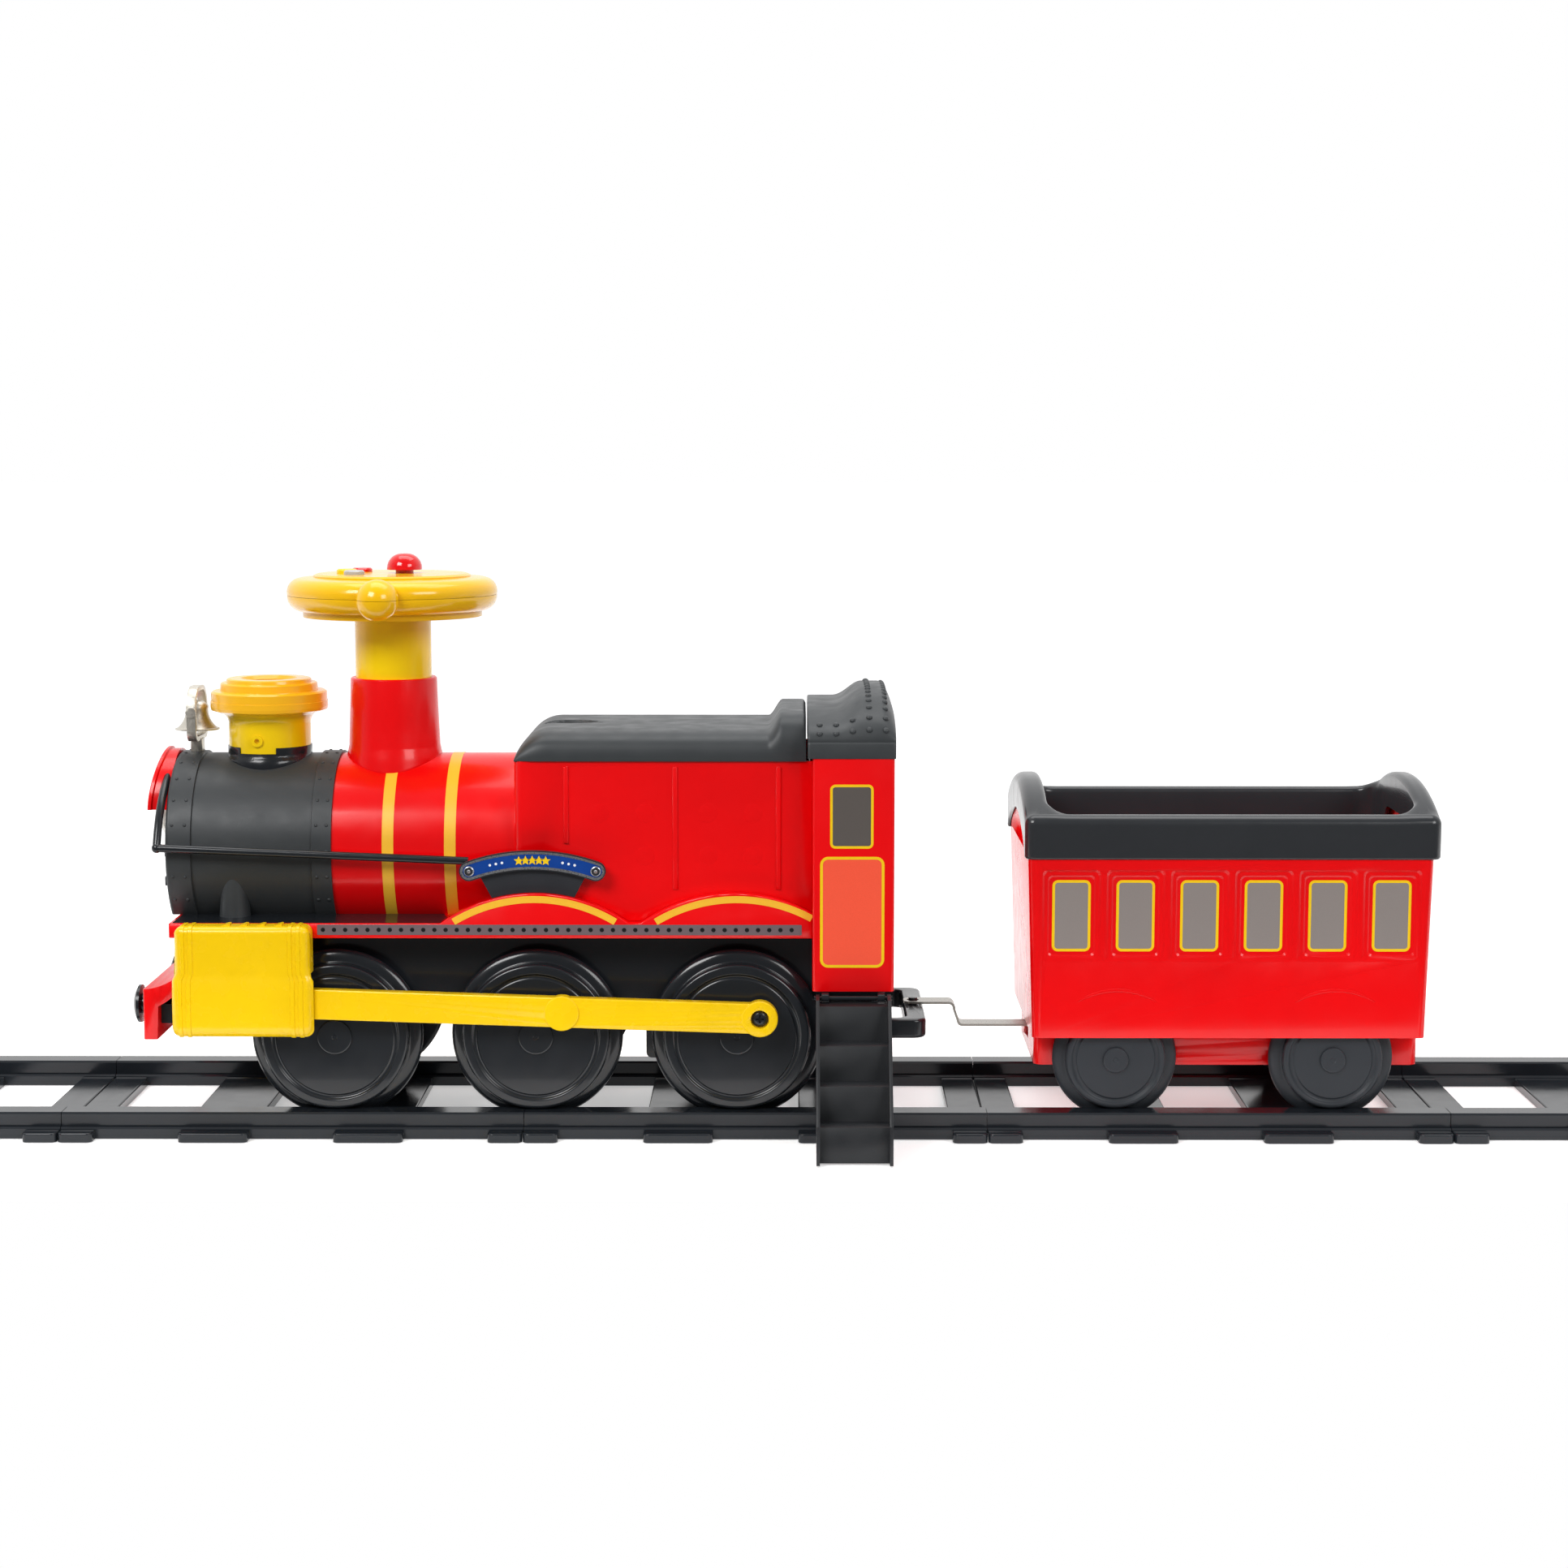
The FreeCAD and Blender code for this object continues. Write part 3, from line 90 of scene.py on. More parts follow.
class Nodes:
    """A material's node tree with a short way to add and wire nodes."""

    def __init__(self, name):
        self.material = bpy.data.materials.new(name)
        self.material.use_nodes = True
        self.tree = self.material.node_tree
        self.shader = self.tree.nodes["Principled BSDF"]
        self.place = self.add("ShaderNodeTexCoord").outputs["Object"]

    def add(self, kind, inputs=None, **settings):
        node = self.tree.nodes.new(kind)
        for key, value in settings.items():
            setattr(node, key, value)
        for key, value in (inputs or {}).items():
            if isinstance(value, bpy.types.NodeSocket):
                self.tree.links.new(value, node.inputs[key])
            else:
                node.inputs[key].default_value = value
        return node

    def noise(self, scale, detail=2.0, place=None):
        inputs = {"Vector": place or self.place, "Scale": scale, "Detail": detail}
        return self.add("ShaderNodeTexNoise", inputs).outputs["Fac"]

    def ramp(self, factor, stops):
        node = self.add("ShaderNodeValToRGB", {"Fac": factor})
        elements = node.color_ramp.elements
        while len(elements) < len(stops):
            elements.new(1.0)
        for element, (position, colour) in zip(elements, stops):
            element.position = position
            element.color = colour
        return node.outputs["Color"]

    def ranged(self, value, low, high):
        inputs = {"Value": value, "From Min": 0.3, "From Max": 0.7, "To Min": low, "To Max": high}
        return self.add("ShaderNodeMapRange", inputs).outputs["Result"]

    def link(self, output, name):
        self.tree.links.new(output, self.shader.inputs[name])


def moulded(name, colour, rough, coat=0.0, grain=0.0, grain_scale=1500.0, tone=None):
    """Injection-moulded plastic: slight tone drift, uneven gloss and fine grain."""
    made = Nodes(name)
    drift = made.noise(9.0, 3.0)
    stops = [(0.3, scaled(colour, 0.93)), (0.7, scaled(colour, 1.04))]
    base = made.ramp(drift, stops)
    if tone:
        height = made.add("ShaderNodeSeparateXYZ", {"Vector": made.place}).outputs["Z"]
        low, high, other = tone
        inputs = {"Value": height, "From Min": low * MM, "From Max": high * MM}
        blend = made.add("ShaderNodeMapRange", inputs).outputs["Result"]
        base = made.add("ShaderNodeMix", {"Factor": blend, 6: base, 7: other}, data_type="RGBA").outputs[2]
    made.link(base, "Base Color")
    made.link(made.ranged(made.noise(55.0, 4.0), rough * 0.85, rough * 1.2), "Roughness")
    made.shader.inputs["Coat Weight"].default_value = coat
    made.shader.inputs["Coat Roughness"].default_value = 0.06
    made.shader.inputs["Specular IOR Level"].default_value = 0.36
    waves = made.add("ShaderNodeBump", {
        "Height": made.noise(30.0, 1.0), "Strength": 0.012, "Distance": 0.4 * MM,
    }).outputs["Normal"]
    fine = made.add("ShaderNodeBump", {
        "Height": made.noise(grain_scale, 2.0), "Strength": grain, "Distance": 0.12 * MM, "Normal": waves,
    }).outputs["Normal"]
    made.link(fine, "Normal")
    return made.material


def printed(name, colour, rough=0.32):
    """Film sticker or pad print: a flat ink tone with a faint fleck and a smooth clear face."""
    made = Nodes(name)
    fleck = made.noise(2600.0, 1.0)
    made.link(made.ramp(fleck, [(0.35, scaled(colour, 0.95)), (0.65, scaled(colour, 1.03))]), "Base Color")
    made.link(made.ranged(made.noise(120.0, 2.0), rough * 0.9, rough * 1.15), "Roughness")
    bump = made.add("ShaderNodeBump", {"Height": fleck, "Strength": 0.05, "Distance": 0.05 * MM})
    made.link(bump.outputs["Normal"], "Normal")
    return made.material


def metal(name, colour, rough, stretch=(1.0, 1.0, 1.0)):
    """Brushed or plated metal, with the brushing drawn out along one direction."""
    made = Nodes(name)
    place = made.add("ShaderNodeMapping", {"Vector": made.place, "Scale": stretch}).outputs["Vector"]
    lines = made.noise(700.0, 3.0, place)
    made.link(made.ramp(lines, [(0.35, scaled(colour, 0.85)), (0.65, colour)]), "Base Color")
    made.link(made.ranged(lines, rough * 0.8, rough * 1.3), "Roughness")
    made.shader.inputs["Metallic"].default_value = 1.0
    bump = made.add("ShaderNodeBump", {"Height": lines, "Strength": 0.05, "Distance": 0.05 * MM})
    made.link(bump.outputs["Normal"], "Normal")
    return made.material


def frosted(name, colour):
    """Ribbed, frosted lamp lens."""
    made = Nodes(name)
    made.link(made.ramp(made.noise(40.0), [(0.3, scaled(colour, 0.92)), (0.7, colour)]), "Base Color")
    made.shader.inputs["Roughness"].default_value = 0.16
    made.shader.inputs["Coat Weight"].default_value = 0.6
    rings = made.add("ShaderNodeTexWave", {"Vector": made.place, "Scale": 160.0}, bands_direction="Z")
    bump = made.add("ShaderNodeBump", {"Height": rings.outputs["Fac"], "Strength": 0.3, "Distance": 0.2 * MM})
    made.link(bump.outputs["Normal"], "Normal")
    return made.material


RED, YELLOW = srgb(238, 3, 9), srgb(250, 205, 2)
MATERIALS = {
    "track_plastic": moulded("track_plastic", srgb(30, 34, 39), 0.16, grain=0.0),
    "red_plastic": moulded("red_plastic", RED, 0.22, coat=0.12, grain=0.02),
    "yellow_plastic": moulded("yellow_plastic", YELLOW, 0.26, coat=0.15, grain=0.02),
    "warm_yellow": moulded("warm_yellow", srgb(247, 190, 8), 0.20, coat=0.3, grain=0.02),
    # Warm yellow made lighter for the steering column, to offset the shade the steering wheel casts on it:
    # painted light.
    "column_yellow_painted_light": moulded("column_yellow_painted_light", srgb(255, 216, 4), 0.20, coat=0.3, grain=0.02),
    "chimney_yellow": moulded("chimney_yellow", srgb(254, 212, 8), 0.22, coat=0.3, grain=0.02,
                              tone=(355.0, 362.0, srgb(249, 186, 30))),
    "black_plastic": moulded("black_plastic", srgb(30, 33, 37), 0.22, coat=0.2, grain=0.04),
    "rim_black": moulded("rim_black", srgb(46, 48, 51), 0.22, coat=0.2, grain=0.04),
    "grey_plastic": moulded("grey_plastic", srgb(55, 58, 60), 0.42, grain=0.35, grain_scale=1900.0),
    "wheel_plastic": moulded("wheel_plastic", srgb(30, 33, 37), 0.20, coat=0.3, grain=0.03),
    "matte_wheel": moulded("matte_wheel", srgb(44, 48, 53), 0.42, grain=0.12),
    "step_black": moulded("step_black", srgb(30, 32, 35), 0.46, grain=0.2),
    "steel": metal("steel", srgb(190, 186, 178), 0.30, (4.0, 0.4, 4.0)),
    "bell_metal": metal("bell_metal", srgb(222, 217, 206), 0.42, (1.0, 1.0, 3.0)),
    "lens_plastic": frosted("lens_plastic", srgb(238, 236, 226)),
    "nameplate_face": moulded("nameplate_face", srgb(46, 48, 52), 0.34, grain=0.08),
    "battery_case": moulded("battery_case", srgb(70, 72, 76), 0.5, grain=0.3),
    "motor_metal": metal("motor_metal", srgb(170, 170, 172), 0.35),
    "gear_plastic": moulded("gear_plastic", srgb(232, 229, 218), 0.42, grain=0.1),
    "circuit_board": moulded("circuit_board", srgb(24, 92, 44), 0.4, grain=0.2),
    "grey_button": moulded("grey_button", srgb(176, 176, 178), 0.2, coat=0.4),
    "red_button": moulded("red_button", srgb(215, 8, 16), 0.14, coat=0.6),
    "stripe": printed("stripe", srgb(250, 190, 52)),
    "window_edge": printed("window_edge", srgb(248, 204, 20)),
    "carriage_glass": printed("carriage_glass", srgb(141, 133, 129)),
    "cab_glass": printed("cab_glass", srgb(92, 86, 82)),
    "door_panel": printed("door_panel", srgb(252, 90, 62)),
    "strip_grey": printed("strip_grey", srgb(112, 97, 101)),
    "dot_black": printed("dot_black", srgb(14, 14, 16)),
    "plate_silver": metal("plate_silver", srgb(205, 206, 210), 0.3),
    "plate_blue": printed("plate_blue", srgb(4, 62, 146)),
    "plate_white": printed("plate_white", srgb(240, 244, 250)),
}
NODE_FINISH = {
    "carriage_front_wheelset": "matte_wheel", "carriage_rear_wheelset": "matte_wheel",
    "steps_left": "step_black", "steps_right": "step_black", "chimney": "chimney_yellow",
    "steering_column": "column_yellow_painted_light", "wheel_lower": "warm_yellow", "wheel_upper": "warm_yellow",
    "wheel_panel": "warm_yellow",
}


def finish_of(node):
    return MATERIALS[NODE_FINISH.get(node, SLOT_OF[node])]


def dress_cad():
    for name, node in frame["nodes"].items():
        node.data.materials.clear()
        node.data.materials.append(finish_of(name))


# ---- mesh tools ----
class Shape:
    """Vertices and faces in millimetres, gathered before they become one piece."""

    def __init__(self):
        self.points, self.faces = [], []

    def add(self, points, faces):
        first = len(self.points)
        self.points += [Vector(point) for point in points]
        self.faces += [tuple(first + index for index in face) for face in faces]
        return self

    def loft(self, rings, closed=True, caps=False):
        """Skin between rings that all have the same number of points."""
        count = len(rings[0])
        faces = []
        for row in range(len(rings) - 1):
            for column in range(count if closed else count - 1):
                after = (column + 1) % count
                faces.append((row * count + column, row * count + after,
                              (row + 1) * count + after, (row + 1) * count + column))
        if caps:
            last = (len(rings) - 1) * count
            faces.append(tuple(reversed(range(count))))
            faces.append(tuple(last + index for index in range(count)))
        return self.add([point for ring in rings for point in ring], faces)


def piece(name, shape, finish, body, sharp=35.0):
    mesh = bpy.data.meshes.new(name)
    mesh.from_pydata([point * MM for point in shape.points], [], shape.faces)
    work = bmesh.new()
    work.from_mesh(mesh)
    bmesh.ops.remove_doubles(work, verts=work.verts, dist=0.001 * MM)
    bmesh.ops.recalc_face_normals(work, faces=work.faces)
    work.to_mesh(mesh)
    work.free()
    return shown(name, mesh, MATERIALS[finish], body, sharp)


def shown(name, mesh, material, body, sharp):
    mesh.polygons.foreach_set("use_smooth", [True] * len(mesh.polygons))
    mesh.set_sharp_from_angle(angle=math.radians(sharp))
    mesh.materials.clear()
    mesh.materials.append(material)
    thing = bpy.data.objects.new(name, mesh)
    bpy.context.scene.collection.objects.link(thing)
    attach(thing, body)
    return thing


def applied(thing):
    """The mesh of an object with its modifiers applied."""
    graph = bpy.context.evaluated_depsgraph_get()
    return bpy.data.meshes.new_from_object(thing.evaluated_get(graph))


def softened(node, width, segments=3, angle=35.0):
    """The node's own shape with its sharp edges rounded off by a real bevel."""
    mesh = frame["nodes"][node].data.copy()
    work = bmesh.new()
    work.from_mesh(mesh)
    bmesh.ops.remove_doubles(work, verts=work.verts, dist=0.002 * MM)
    bmesh.ops.dissolve_limit(work, angle_limit=math.radians(0.4), verts=work.verts, edges=work.edges)
    work.to_mesh(mesh)
    work.free()
    rough = bpy.data.objects.new("rough", mesh)
    bpy.context.scene.collection.objects.link(rough)
    bevel = rough.modifiers.new("bevel", "BEVEL")
    bevel.width, bevel.segments = width * MM, segments
    bevel.limit_method, bevel.angle_limit = "ANGLE", math.radians(angle)
    bevel.use_clamp_overlap = True
    bevel.harden_normals = True
    result = applied(rough)
    bpy.data.objects.remove(rough)
    made = shown(f"{node}_moulding", result, finish_of(node), BODY_OF[node], 40.0)
    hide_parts(node)
    return made


def arc(start, end, steps):
    return [start + (end - start) * step / steps for step in range(steps + 1)]


def rounded(x, z, width, height, radius, steps=6):
    """A rounded rectangle about (x, z)."""
    points = []
    for turn, (across, up) in enumerate(((1, 1), (-1, 1), (-1, -1), (1, -1))):
        middle = (x + across * (width / 2 - radius), z + up * (height / 2 - radius))
        for angle in arc(turn * math.pi / 2, (turn + 1) * math.pi / 2, steps):
            points.append((middle[0] + radius * math.cos(angle), middle[1] + radius * math.sin(angle)))
    return points


def disc_outline(x, z, radius, steps=20):
    return [(x + radius * math.cos(2 * math.pi * i / steps), z + radius * math.sin(2 * math.pi * i / steps))
            for i in range(steps)]


def on_side(side, outline, distance):
    return [(x, side * distance, z) for x, z in outline]


def plate(shape, side, outline, low, high, crown=0.0):
    """A thin raised plate on a side wall, between two distances from the centre line."""
    centre = Vector((sum(x for x, _ in outline), sum(z for _, z in outline))) / len(outline)
    inset = [tuple(centre + (Vector(point) - centre) * (1 - crown)) for point in outline]
    return shape.loft([on_side(side, outline, low), on_side(side, outline, high - (high - low) * 0.4),
                       on_side(side, inset, high)], caps=True)


def edging(shape, side, outer, inner, low, high):
    """A flat frame between two outlines of the same number of points."""
    return shape.loft([on_side(side, outer, low), on_side(side, outer, high), on_side(side, inner, high),
                       on_side(side, inner, low), on_side(side, outer, low)])


def dome(shape, base, normal, radius, height, steps=12, rows=3):
    """A round rivet or button head on a surface."""
    normal = Vector(normal).normalized()
    across = normal.orthogonal().normalized()
    up = normal.cross(across)
    rings = []
    for row in range(rows + 1):
        lift = math.pi / 2 * row / (rows + 0.6)
        size, rise = radius * math.cos(lift), height * math.sin(lift)
        rings.append([Vector(base) + normal * rise + (across * math.cos(a) + up * math.sin(a)) * size
                      for a in (2 * math.pi * i / steps for i in range(steps))])
    rings.insert(0, [point - normal * 0.4 for point in rings[0]])
    return shape.loft(rings, caps=True)


# ---- printed and riveted trim ----
FILM = 0.25
STRIPE_WIDTH, ARC_WIDTH = 10.0, 6.0
RIVET_RADIUS, RIVET_HEIGHT = 1.5, 0.9


def band_section(width, sunk):
    """Corners of a painted line's section as (offset across it, height over the surface)."""
    return (-width / 2, -sunk), (-width / 2, FILM), (width / 2, FILM), (width / 2, -sunk)


def boiler_stripes():
    """Two yellow bands painted round the red boiler."""
    low, high = extent("boiler_shell")
    radius = (high.y - low.y) / 2
    centre_z = high.z - radius
    reach = math.acos((centre_z - low.z) / radius)
    collar = extent("steering_collar")
    collar_x, collar_half = (collar[0].x + collar[1].x) / 2, (collar[1].x - collar[0].x) / 2
    shape = Shape()
    for x in (collar_x + 3.0, collar_x + 57.0):
        hidden = 0.0
        if abs(x - collar_x) < collar_half:
            hidden = math.asin((collar_half - 4.0) / radius)
        for side in SIDES:
            rings = []
            for angle in arc(hidden, math.pi - reach - 0.002, 60):
                rings.append([(x + offset, side * (radius + lift) * math.sin(angle),
                               centre_z + (radius + lift) * math.cos(angle))
                              for offset, lift in band_section(STRIPE_WIDTH, 0.2)])
            shape.loft(rings, caps=True)
    piece("boiler_stripes", shape, "stripe", "loco")


def smokebox_rivets():
    """Pairs of small rivets round both smokebox bands."""
    low, high = extent("smokebox")
    radius = (high.y - low.y) / 2
    centre_z = high.z - radius
    columns = (low.x + 6.0, low.x + 17.0, high.x - 13.0, high.x - 4.0)
    shape = Shape()
    for x in columns:
        for step in range(-8, 9):
            angle = math.radians(8 + 16 * step)
            if centre_z + radius * math.cos(angle) < low.z + 4:
                continue
            normal = Vector((0, math.sin(angle), math.cos(angle)))
            dome(shape, Vector((x, 0, centre_z)) + normal * radius, normal, RIVET_RADIUS, RIVET_HEIGHT)
    piece("smokebox_rivets", shape, "grey_plastic", "loco")


def footplate_strip():
    """Grey strip with a row of black holes along each edge of the footplate."""
    low, high = extent("footplate")
    start, end = -377.0, high.x - 9.0
    bottom, top = 176.0, 185.0
    middle = (bottom + top) / 2
    first_hole, pitch, hole_radius = start + 5.0, 9.6, 1.9
    strip, dots = Shape(), Shape()
    for side in SIDES:
        outline = rounded((start + end) / 2, middle, end - start, top - bottom, 0.8, 2)
        plate(strip, side, outline, high.y - 0.1, high.y + FILM)
        for index in range(int((end - start - 6) / pitch) + 1):
            outline = disc_outline(first_hole + index * pitch, middle, hole_radius, 14)
            plate(dots, side, outline, high.y, high.y + FILM + 0.08)
    piece("footplate_strip", strip, "strip_grey", "loco")
    piece("footplate_strip_holes", dots, "dot_black", "loco")


def splasher_arcs():
    """Yellow line round each wheel splasher."""
    high = extent("footplate")[1]
    radius, centre_z = 134.0, 73.0
    shape = Shape()
    for wheel in ("middle_wheels", "rear_wheels"):
        wheel_low, wheel_high = extent(wheel)
        x = (wheel_low.x + wheel_high.x) / 2
        reach = math.acos(114.5 / radius)
        end = min(reach, math.asin(min(1.0, (high.x - 0.5 - x) / radius)))
        for side in SIDES:
            rings = []
            for angle in arc(-reach, end, 48):
                ring = []
                for offset, lift in band_section(ARC_WIDTH, 0.1):
                    size = radius + offset
                    ring.append((x + size * math.sin(angle), side * (high.y + lift),
                                 centre_z + size * math.cos(angle)))
                rings.append(ring)
            shape.loft(rings, caps=True)
    piece("splasher_lines", shape, "stripe", "loco")


def footplate_painted_reflection():
    """Dark glossy sheet on top of the footplate, beside the smokebox and boiler: a painted reflection of the
    black smokebox.
    """
    low, high = extent("footplate")
    top, front, rear, inboard = 186.0, low.x + 3, -262.0, 54
    shape = Shape()
    for side in SIDES:
        outline = [(front, inboard), (rear - 12, inboard), (rear, high.y - 2), (front, high.y - 2)]
        rings = [[(x, side * y, z) for x, y in outline] for z in (top - 0.1, top + FILM)]
        shape.loft(rings, caps=True)
    piece("footplate_painted_reflection", shape, "black_plastic", "loco")


def framed_sticker(panes, edges, side, distance, x, z, width, height, radius, border):
    """A flat pane with a printed border, on a side wall."""
    outer = rounded(x, z, width, height, radius)
    inner = rounded(x, z, width - 2 * border, height - 2 * border, max(radius - border, 0.8))
    edging(edges, side, outer, inner, distance - 0.1, distance + FILM)
    plate(panes, side, inner, distance - 0.1, distance + FILM * 0.8)


def cab_stickers():
    """Window and door films on both sides of the cab."""
    low, high = extent("cab_body")
    middle = (low.x + high.x) / 2
    edges, glass, doors = Shape(), Shape(), Shape()
    for side in SIDES:
        framed_sticker(glass, edges, side, high.y, middle - 1.5, 280.5, 37.0, 55.0, 4.5, 2.2)
        framed_sticker(doors, edges, side, high.y, middle - 1.0, 198.0, 55.0, 96.0, 7.0, 2.4)
    piece("cab_window_frames", edges, "window_edge", "loco")
    piece("cab_windows", glass, "cab_glass", "loco")
    piece("cab_doors", doors, "door_panel", "loco")


def stepped_edge(shape, side, x, z, width, height, slope, outer_face, floor):
    """Sloping edge of a moulded recess, from the face outside it down to its floor."""
    outer = rounded(x, z, width, height, 4.5)
    inner = rounded(x, z, width - 2 * slope, height - 2 * slope, 4.0)
    under = floor - 0.3
    shape.loft([
        [(a, side * outer_face(b), b) for a, b in outer], on_side(side, inner, floor + 0.03),
        on_side(side, inner, under), on_side(side, outer, under),
        [(a, side * outer_face(b), b) for a, b in outer],
    ])


def carriage_windows():
    """Film windows in two-step moulded recesses along both sides of the tub."""
    low = extent("carriage_body")[0]
    shelf, floor = 105.9, 104.9
    first, pitch, count, middle = low.x + 37.5, 55.0, 6, 193.0
    foot_half, foot_z, lean = 105.02, 86.0, 3.0 / 159.0
    edges, glass, recess = Shape(), Shape(), Shape()

    def tub_face(z):
        return foot_half + lean * (z - foot_z)

    for side in SIDES:
        for index in range(count):
            x = first + index * pitch
            framed_sticker(glass, edges, side, floor, x, middle, 33.0, 62.0, 5.0, 2.3)
            stepped_edge(recess, side, x, middle, 50.4, 80.4, 2.0, tub_face, shelf)
            stepped_edge(recess, side, x, middle, 41.4, 70.4, 1.5, lambda z: shelf + 0.04, floor)
    piece("carriage_window_steps", recess, "red_plastic", "carriage")
    piece("carriage_window_frames", edges, "window_edge", "carriage")
    piece("carriage_windows", glass, "carriage_glass", "carriage")


def bead(shape, path, radius, normal, steps=8):
    """A low rounded ridge along a path that tapers to nothing at both ends."""
    rings = []
    for index, point in enumerate(path):
        before, after = path[max(index - 1, 0)], path[min(index + 1, len(path) - 1)]
        along = (after - before).normalized()
        across = along.cross(normal).normalized()
        size = radius * (math.sin(math.pi * index / (len(path) - 1)) ** 0.6 + 0.02)
        rings.append([point + across * size * math.cos(a) + normal * 0.6 * size * math.sin(a)
                      for a in (2 * math.pi * i / steps for i in range(steps))])
    return shape.loft(rings, caps=True)


def carriage_arches():
    """Raised eyebrow on the tub's side over each wheel."""
    shape = Shape()
    for wheelset in ("carriage_front_wheelset", "carriage_rear_wheelset"):
        low, high = extent(wheelset)
        x, z = (low.x + high.x) / 2, (low.z + high.z) / 2
        radius, reach = 62.5, math.radians(34)
        for side in SIDES:
            path = [Vector((x + radius * math.sin(a), side * 105.8, z + radius * math.cos(a)))
                    for a in arc(-reach, reach, 20)]
            bead(shape, path, 1.6, Vector((0, side, 0)))
    piece("carriage_arch_marks", shape, "red_plastic", "carriage")


def band_outline(inset, steps=24):
    """The nameplate's arched band with round ends, drawn in by inset."""
    centre_x, reach, end_z, crown_z, half = -191.5, 54.5, 231.0, 240.5, 8.5 - inset
    radius = (reach ** 2 + (crown_z - end_z) ** 2) / (2 * (crown_z - end_z))
    centre_z, turn = crown_z - radius, math.asin(reach / radius)

    def at(size, angle):
        return centre_x + size * math.sin(angle), centre_z + size * math.cos(angle)

    points = [at(radius + half, angle) for angle in arc(-turn, turn, steps)]
    for end in (1, -1):
        hub = at(radius, end * turn)
        first = math.pi / 2 - end * turn if end == 1 else -math.pi / 2 + turn
        for swing in arc(0, math.pi, 10)[1:-1]:
            angle = first - swing
            points.append((hub[0] + half * math.cos(angle), hub[1] + half * math.sin(angle)))
        if end == 1:
            points += [at(radius - half, angle) for angle in arc(turn, -turn, steps)]
    return points, at, radius, turn


def star(x, z, radius):
    points = []
    for index in range(10):
        size = radius if index % 2 == 0 else radius * 0.45
        angle = math.pi / 2 + index * math.pi / 5
        points.append((x + size * math.cos(angle), z + size * math.sin(angle)))
    return points


def nameplate_print():
    """Silver border, blue field, bolts, and plain dots and stars instead of a number."""
    silver, blue, white, yellow, bolts = Shape(), Shape(), Shape(), Shape(), Shape()
    border_back, border_face, step_face = 103.9, 104.3, 103.6
    field_back, field_face, print_back, star_face, dot_face = 103.1, 103.45, 103.4, 103.75, 103.7
    star_size, star_turn, dot_size, dot_turn, dots_from = 4.4, 0.036, 1.15, 0.033, 0.47
    outer, at, radius, turn = band_outline(1.0)
    middle, inner = band_outline(2.2)[0], band_outline(3.1)[0]
    for side in SIDES:
        edging(silver, side, outer, middle, border_back, border_face)
        edging(silver, side, middle, inner, field_back, step_face)
        plate(blue, side, inner, field_back, field_face)
        for index in range(-2, 3):
            x, z = at(radius, index * star_turn)
            plate(yellow, side, star(x, z, star_size), print_back, star_face)
        for mirror in SIDES:
            for index in range(3):
                x, z = at(radius, mirror * (turn * dots_from + index * dot_turn))
                plate(white, side, disc_outline(x, z, dot_size, 12), print_back, dot_face)
            x, z = at(radius, mirror * turn)
            dome(bolts, (x, side * print_back, z), (0, side, 0), 4.6, 1.5, 24, 4)
            dome(bolts, (x, side * 104.2, z), (0, side, 0), 2.6, 2.3, 6, 2)
    piece("nameplate_borders", silver, "plate_silver", "loco")
    piece("nameplate_fields", blue, "plate_blue", "loco")
    piece("nameplate_dots", white, "plate_white", "loco")
    piece("nameplate_stars", yellow, "window_edge", "loco")
    piece("nameplate_bolts", bolts, "plate_silver", "loco")


# ---- reshaped mouldings ----
def eased(value, low, high):
    """0 below low, 1 above high, and a smooth S between them."""
    share = min(1.0, max(0.0, (value - low) / (high - low)))
    return share * share * (3 - 2 * share)


def walled(name, shape, thickness, finish, node):
    """An open skin given its wall thickness inwards, standing for a CAD node."""
    rough = piece(f"{name}_skin", shape, finish, BODY_OF[node])
    wall = rough.modifiers.new("wall", "SOLIDIFY")
    wall.thickness, wall.offset = thickness * MM, -1.0
    mesh = applied(rough)
    bpy.data.objects.remove(rough)
    made = shown(name, mesh, MATERIALS[finish], BODY_OF[node], 40.0)
    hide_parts(node)
    return made


def skin_rows(rows):
    """Grid of rows of points, as one open skin."""
    return Shape().loft(rows, closed=False)


def superellipse(steps, across_power, up_power):
    """Half section from the foot of the wall (1, 0) over the shoulder to the crown (0, 1), and back down."""
    half = []
    for angle in arc(0, math.pi / 2, steps):
        half.append((max(0.0, math.cos(angle)) ** (2 / across_power), math.sin(angle) ** (2 / up_power)))
    middle = half[-1]
    flat = [(half[-2][0] * (1 - share), half[-2][1] + (middle[1] - half[-2][1]) * share)
            for share in arc(0.03, 0.97, 30)]
    side = half[:-1] + flat
    return side + [middle] + [(-across, up) for across, up in reversed(side)]


